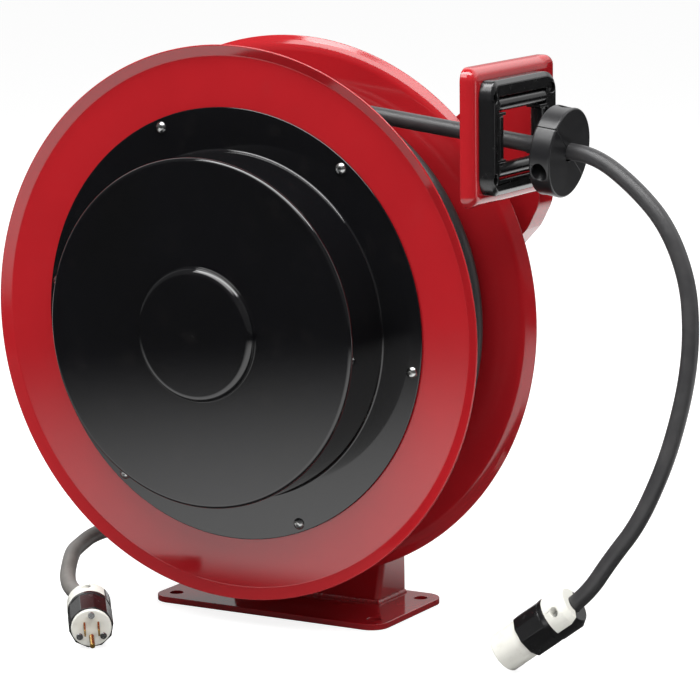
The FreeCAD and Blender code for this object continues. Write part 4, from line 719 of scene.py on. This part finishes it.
def cord_line(name, points, body, slot, replaced):
    """Cord as one smooth spline led by its route's points, which are in millimetres."""
    curve = bpy.data.curves.new(name, "CURVE")
    curve.dimensions = "3D"
    curve.bevel_depth = CORD / 2
    curve.bevel_resolution = 7
    curve.resolution_u = 10
    curve.use_fill_caps = True
    spline = curve.splines.new("NURBS")
    spline.points.add(len(points) - 1)
    for point, place in zip(spline.points, points):
        point.co = (place[0] / 1000, place[1] / 1000, place[2] / 1000, 1)
    spline.order_u = 3
    spline.use_endpoint_u = True
    spline.use_smooth = True
    curve.materials.append(finishes[slot])
    cord = bpy.data.objects.new(name, curve)
    bpy.context.scene.collection.objects.link(cord)
    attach(cord, body)
    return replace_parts(cord, *replaced)


def about_axle(radius, angle, y):
    """Point about the axle, in millimetres."""
    return (radius * math.cos(angle), y, 1000 * AXLE + radius * math.sin(angle))


def crossing(turn):
    """Share of the quick step that the second turn makes towards the rear disc, and then gives back."""
    return ease((turn - 1.55) / 0.15) - ease((turn - 2.1) / 0.3)


def wound(radius, first, turns, first_y, lead=0, dive=15):
    """Turns about the axle. They start with a straight lead or an end that dives to the layer below, and
    the other end dives too."""
    a_turn = 24
    quick_step = 4.5
    step = math.radians(360 / a_turn)
    pitch = 1000 * PITCH
    count = round(turns * a_turn)
    points = []
    if lead:
        points.append(Vector(about_axle(radius, first, first_y))
                      + lead * Vector((math.sin(first), 0, -math.cos(first))))
    for i in range(count + 1):
        angle = first + (i - 0.5) * step
        turn = max(i - 0.5, 0) / a_turn
        y = first_y + pitch * turn + quick_step * crossing(turn)
        sunk = dive * ease((i - count + 5) / 5) + (0 if lead else dive * ease((5 - i) / 5))
        points.append(about_axle((radius - sunk) / math.cos(step / 2), angle, y))
    return points


connector_nose = Vector((287, -124, 15.225))
connector_back = Vector((66, 8, 50.3)).normalized()
connector_end = connector_nose + 84 * connector_back
plug_nose = Vector((-76, -239, 20.3))
plug_back = Vector((-0.58, 0.77, 0.18)).normalized()
plug_end = plug_nose + 60 * plug_back
leave_point = Vector(about_axle(1000 * OUTER_TURNS, LEAVE, 1000 * MIDDLE_Y))
run = Vector((math.sin(LEAVE), 0, -math.cos(LEAVE)))
tail_end = leave_point + 1000 * TAIL * run


def on_run(x):
    """Point of the straight run through the guide, at one x."""
    return leave_point + run * ((x - leave_point.x) / run.x)


outlet_route = [tail_end, on_run(310), on_run(347), (388.3, -66, 429.2), (420.4, -71, 399), (442, -76, 354.2),
                (448.6, -82, 310), (447.2, -87, 268.9), (439.8, -93, 226.9), (430, -99, 189.7),
                (409.9, -105, 141.5), (386, -110, 108.9), connector_end + 14 * connector_back,
                connector_end - 10 * connector_back]
inlet_route = [(0, 70, 287), (0, 142, 287), (-22, 200, 268), (-66, 226, 218), (-116, 212, 166),
               (-157, 168, 128), (-182, 110, 104), (-199, 48, 86), (-194.6, -4.2, 55.6), (-198.2, -55.5, 57.2),
               (-193.3, -87.4, 52.7), (-178.8, -122.2, 54), (-157.4, -163.2, 33.2), plug_end + 2 * plug_back,
               plug_end - 16 * plug_back]
outlet_cord = cord_line("outlet_cord", outlet_route, "frame", "cord_jacket",
                        ["outlet_cord_inner", "outlet_cord_outer"])
inlet_cord = cord_line("inlet_cord_line", inlet_route, "frame", "inlet_jacket", ["inlet_cord"])
outer_route = wound(1000 * OUTER_TURNS, LEAVE, 2.75, 1000 * MIDDLE_Y, lead=1000 * TAIL)
under_route = wound(1000 * UNDER_TURNS, math.radians(200), 1.75, -100.4)
outer_turns = cord_line("wound_turns", outer_route, "spool", "cord_jacket", ["cord_winding"])
under_turns = cord_line("wound_turns_below", under_route, "spool", "cord_jacket", ["cord_underlayer"])

# Turned pieces: the two discs, the drawn cover and its gasket


def softened(corners):
    """Closed outline with its corners (radius, y, bend) rounded and a point close to each side of a bend."""
    outline = []
    count = len(corners)
    for i in range(count):
        corner = Vector(corners[i][:2])
        bend = corners[i][2]
        before = Vector(corners[i - 1][:2]) - corner
        after = Vector(corners[(i + 1) % count][:2]) - corner
        before_length = before.length
        after_length = after.length
        before.normalize()
        after.normalize()
        half = before.angle(after) / 2
        if bend <= 0 or half > math.radians(89.5):
            outline.append(corner)
            continue
        back = bend / math.tan(half)
        near = min(0.4, 0.2 * bend + 0.1)
        if before_length > back + 2 * near:
            outline.append(corner + before * (back + near))
        middle = corner + (before + after).normalized() * (bend / math.sin(half))
        first = corner + before * back - middle
        last = corner + after * back - middle
        sweep = first.angle(last)
        steps = max(3, round(math.degrees(sweep) / 9))
        for step in range(steps + 1):
            share = step / steps
            spoke = (first * math.sin((1 - share) * sweep) + last * math.sin(share * sweep)) / math.sin(sweep)
            outline.append(middle + spoke)
        if after_length > back + 2 * near:
            outline.append(corner + after * (back + near))
    return outline


def section(name, corners):
    """Mesh of edges round a softened outline given in millimetres."""
    outline = [(point.x / 1000, point.y / 1000, 0) for point in softened(corners)]
    count = len(outline)
    return spots(name, outline, [(i, (i + 1) % count) for i in range(count)])


turned = turned_sheet()
sections = {
    "front_disc": [(38, -108.5, 0.3), (249.5, -108.5, 4.5), (258, -114, 0.8), (258, -116, 0.8),
                   (247.5, -110.5, 3), (38, -110.5, 0.3)],
    "rear_disc": [(38, -5.5, 0.3), (249.5, -5.5, 18), (258, 0, 0.8), (258, 2, 0.8), (247.5, -3.5, 16),
                  (38, -3.5, 0.3)],
    "front_cover": [(0.02, -176.5, 0), (0.8, -176.5, 0), (62, -176.5, 6.2), (62, -169.5, 0.4),
                    (161, -169.5, 3.4), (161, -113, 2), (201, -113, 0.7), (201, -111.5, 0.6),
                    (159.5, -111.5, 0.3), (159.5, -168, 2), (60.5, -168, 0.4), (60.5, -175, 4.7),
                    (0.8, -175, 0), (0.02, -175, 0)],
    "cover_gasket": [(165, -111.5, 0.2), (199, -111.5, 0.2), (199, -110.5, 0.2), (165, -110.5, 0.2)],
}
for node, corners in sections.items():
    outline = section(node + "_section", corners)
    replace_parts(turned.make(node + "_turned", outline, body_of[node], slot_of[node]), node)

# Inner layers of the wound cord, under the turns that show

beside_turns = UNDER_TURNS - 0.0004
front_ring_y = -0.1003
rear_ring_y = -0.0136
layers = []
for index in range(3):
    layers.append((beside_turns, MIDDLE_Y + 0.0079 + PITCH * index))
layers.append((beside_turns, -0.0135))
for index in range(7):
    layers.append((0.1765, front_ring_y + 0.01445 * index))
for radius in (0.161, 0.146, 0.131):
    layers.append((radius, front_ring_y))
    layers.append((radius, rear_ring_y))
layer_spots = spots("layer_spots", [(0, y, AXLE) for radius, y in layers],
                    ring_radius=[radius for radius, y in layers])
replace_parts(cord_rings().make("inner_layers", layer_spots, "spool", "cord_jacket"), "cord_core")

# Screws, nuts, weld and grip ribs

socket_screws = headed_screws("socket_screws", slotted=False)
slotted_screws = headed_screws("slotted_screws", slotted=True)
nuts = hexagon_nuts()


def seats(node, axis, at, facing):
    """Points that fasteners stand on, at one height along an axis: the middle of each solid of a node."""
    places = []
    for low, high in islands(node):
        place = (low + high) / 2
        place[axis] = at
        places.append(place)
    return spots(node + "_seats", places, facing=[facing] * len(places))


cover_screws = socket_screws.make("cover_screws_turned", seats("cover_screws", 1, FLANGE_Y, (0, -1, 0)),
                                  "spool", "zinc", head_radius=0.0054, head_height=0.0034,
                                  recess_width=0.0034, recess_depth=0.002)
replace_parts(cover_screws, "cover_screws")

guide_screws = slotted_screws.make("guide_screws_turned", seats("guide_screws", 0, 0.2712, (1, 0, 0)),
                                   "frame", "zinc", head_radius=0.004, head_height=0.0026,
                                   recess_width=0.0011, recess_depth=0.0013, shank_radius=0.0024,
                                   shank_length=0.016)
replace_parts(guide_screws, "guide_screws")

frame_nuts = nuts.make("frame_nuts", seats("frame_bolts", 1, 0.038, (0, 1, 0)), "frame", "zinc",
                       stud_length=0.0135)
nuts.make("frame_bolt_heads", seats("frame_bolts", 1, 0.030, (0, -1, 0)), "frame", "zinc",
          nut_height=0.0062, stud_length=0.005, stud_radius=0.004)
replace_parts(frame_nuts, "frame_bolts")

bead = weld_bead()
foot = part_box("pedestal")
foot_y = foot[0].y
foot_line = [(foot[1].x + 0.0005, foot[1].y - 0.004, 0.0062), (foot[1].x + 0.0005, foot_y - 0.0005, 0.0062),
             (foot[0].x - 0.0005, foot_y - 0.0005, 0.0062), (foot[0].x - 0.0005, foot[1].y - 0.004, 0.0062)]
bead.make("pedestal_weld", spots("weld_line", foot_line, [(0, 1), (1, 2), (2, 3)]), "frame", "red_paint")

ribs_round().make("gland_ribs", spots("gland_spot", [(0, 0.0875, AXLE)]), "frame", "gland_plastic")

# Dressed parts

dressed("guide_arm", 0.0006, reshape=shape_arm)
dressed("guide_frame", 0.0008, 3, reshape=draw_out_frame)
for node, width in (("base_plate", 0.0007), ("pedestal", 0.0006), ("bumper_upper", 0.0005),
                    ("bumper_lower", 0.0005), ("connector_face", 0.0004),
                    ("connector_sleeve", 0.0004), ("connector_clamp", 0.0005), ("connector_screws", 0.0002),
                    ("plug_face", 0.0004), ("plug_sleeve", 0.0004), ("plug_clamp", 0.0005),
                    ("plug_screws", 0.0002), ("plug_blades", 0.0003), ("inlet_gland", 0.0005),
                    ("shaft_nut", 0.0008), ("main_shaft", 0.0005), ("shaft_collar", 0.0005),
                    ("roller_top", 0.0002), ("roller_bottom", 0.0002), ("roller_front", 0.0002),
                    ("roller_rear", 0.0002), ("roller_pins", 0.0002), ("pawl", 0.0004), ("pawl_pin", 0.0003),
                    ("ratchet_wheel", 0.0005), ("tie_rods", 0.0004), ("hub_rivets", 0.0006),
                    ("rear_hub", 0.0005), ("front_hub", 0.0005), ("bumper_screws", 0.0003)):
    dressed(node, width)
for node, part in nodes.items():
    part.data.materials.clear()
    part.data.materials.append(finishes[slot_of[node]])

plug_pieces = ["plug_face_dressed", "plug_sleeve_dressed", "plug_clamp_dressed", "plug_screws_dressed",
               "plug_blades_dressed"]
for name in plug_pieces:
    bpy.data.objects[name].visible_glossy = False

# Studio


def pale_floor():
    """Matt floor that the camera sees as white; gloss sees a painted glow near the reel and behind it, dimmed
    by a painted shadow of the reel.
    """
    reach = 14
    corners = [(-reach, -reach, 0), (reach, -reach, 0), (reach, reach, 0), (-reach, reach, 0)]
    floor_mesh = bpy.data.meshes.new("floor")
    floor_mesh.from_pydata(corners, [], [(0, 1, 2, 3)])
    floor = bpy.data.objects.new("floor", floor_mesh)
    bpy.context.scene.collection.objects.link(floor)
    floor.location.z = -0.0005
    paper = bpy.data.materials.new("pale_paper")
    paper.use_nodes = True
    tree = Tree(paper.node_tree)
    tree.tree.nodes.clear()
    seen, mirrored = tree.rays()
    here = tree.node("ShaderNodeTexCoord", out="Object")
    away = tree.node("ShaderNodeVectorMath", [here, (0.3, -0.3, 0.0)], out="Value", operation="DISTANCE")
    depth = tree.parts(here)[1]
    # Painted light and shade, seen only in reflections: glow is a painted pool of light round (0.3, -0.3),
    # shade a painted shadow of the reel that dims it from y -0.35 backwards, and glow_behind a painted bright
    # band behind the reel
    glow = tree.between(away, 0.4, 1.7, 1.65, 0.02, interpolation_type="SMOOTHSTEP")
    shade = tree.between(depth, -0.35, -0.25, 1.0, 0.05, interpolation_type="SMOOTHSTEP")
    starts = tree.between(depth, 0.05, 0.25)
    stops = tree.between(depth, 0.85, 1.2)
    glow_behind = 1.7
    seen_glow = 0.86
    shown = (glow * shade).at_least(glow_behind * starts * (1.0 - stops))
    matt = tree.node("ShaderNodeBsdfDiffuse", {"Color": 0.5 - 0.1 * seen - 0.5 * mirrored})
    strength = seen_glow * seen + mirrored * shown
    bright = tree.node("ShaderNodeEmission", {"Color": (1, 1, 1, 1), "Strength": strength})
    lit = tree.node("ShaderNodeAddShader", [matt, bright])
    output = tree.tree.nodes.new("ShaderNodeOutputMaterial")
    tree.tree.links.new(lit.socket, output.inputs[0])
    floor_mesh.materials.append(paper)


def pale_room():
    """Room that the camera sees as white, and that gloss sees as a pale wall behind the reel."""
    world = bpy.data.worlds.new("room")
    bpy.context.scene.world = world
    world.use_nodes = True
    sky = Tree(world.node_tree)
    sky.tree.nodes.clear()
    seen, mirrored = sky.rays()
    depth, height = sky.parts(sky.node("ShaderNodeTexCoord", out="Generated"))[1:]
    behind = sky.between(depth, -0.1, 0.35)
    rising = sky.between(height, 0.3, 0.45)
    ending = sky.between(height, 0.8, 0.92)
    wall = 0.14 + behind * (0.4 + 1.2 * rising) * (1.0 - ending)
    ambient = 0.26
    plain = (1.0 - mirrored) * ambient + mirrored * wall
    strength = seen + (1.0 - seen) * plain
    background = sky.node("ShaderNodeBackground", {"Color": (1, 1, 1, 1), "Strength": strength})
    output = sky.tree.nodes.new("ShaderNodeOutputWorld")
    sky.tree.links.new(background.socket, output.inputs[0])


def softbox(name, place, target, width, height, power, shows=True):
    """Rectangular soft lamp turned towards a point; one that fills in doesn't show in gloss."""
    data = bpy.data.lights.new(name, "AREA")
    data.shape = "RECTANGLE"
    data.size = width
    data.size_y = height
    data.energy = power
    lamp = bpy.data.objects.new(name, data)
    bpy.context.scene.collection.objects.link(lamp)
    lamp.visible_glossy = shows
    lamp.location = place
    lamp.rotation_euler = (Vector(target) - Vector(place)).to_track_quat("-Z", "Y").to_euler()


pale_floor()
pale_room()
softbox("overhead", (0.25, -0.75, 2.5), (0.2, -0.5, 0.2), 2.9, 0.9, 80)
softbox("above_front", (-0.25, -1.75, 2.1), (0.0, -0.1, 0.4), 2.2, 0.9, 31)
softbox("front_left", (-1.5, -1.7, 2.9), (0.0, -0.1, 0.3), 1.4, 1.2, 5, shows=False)
softbox("rear", (-0.9, 2.6, 2.2), (0.0, 0.1, 0.3), 1.4, 1.2, 44, shows=False)
softbox("front_right", (2.0, -1.3, 2.4), (0.1, 0.0, 0.3), 1.4, 1.2, 26, shows=False)

bpy.context.scene.view_settings.view_transform = "Standard"
bpy.context.view_layer.update()
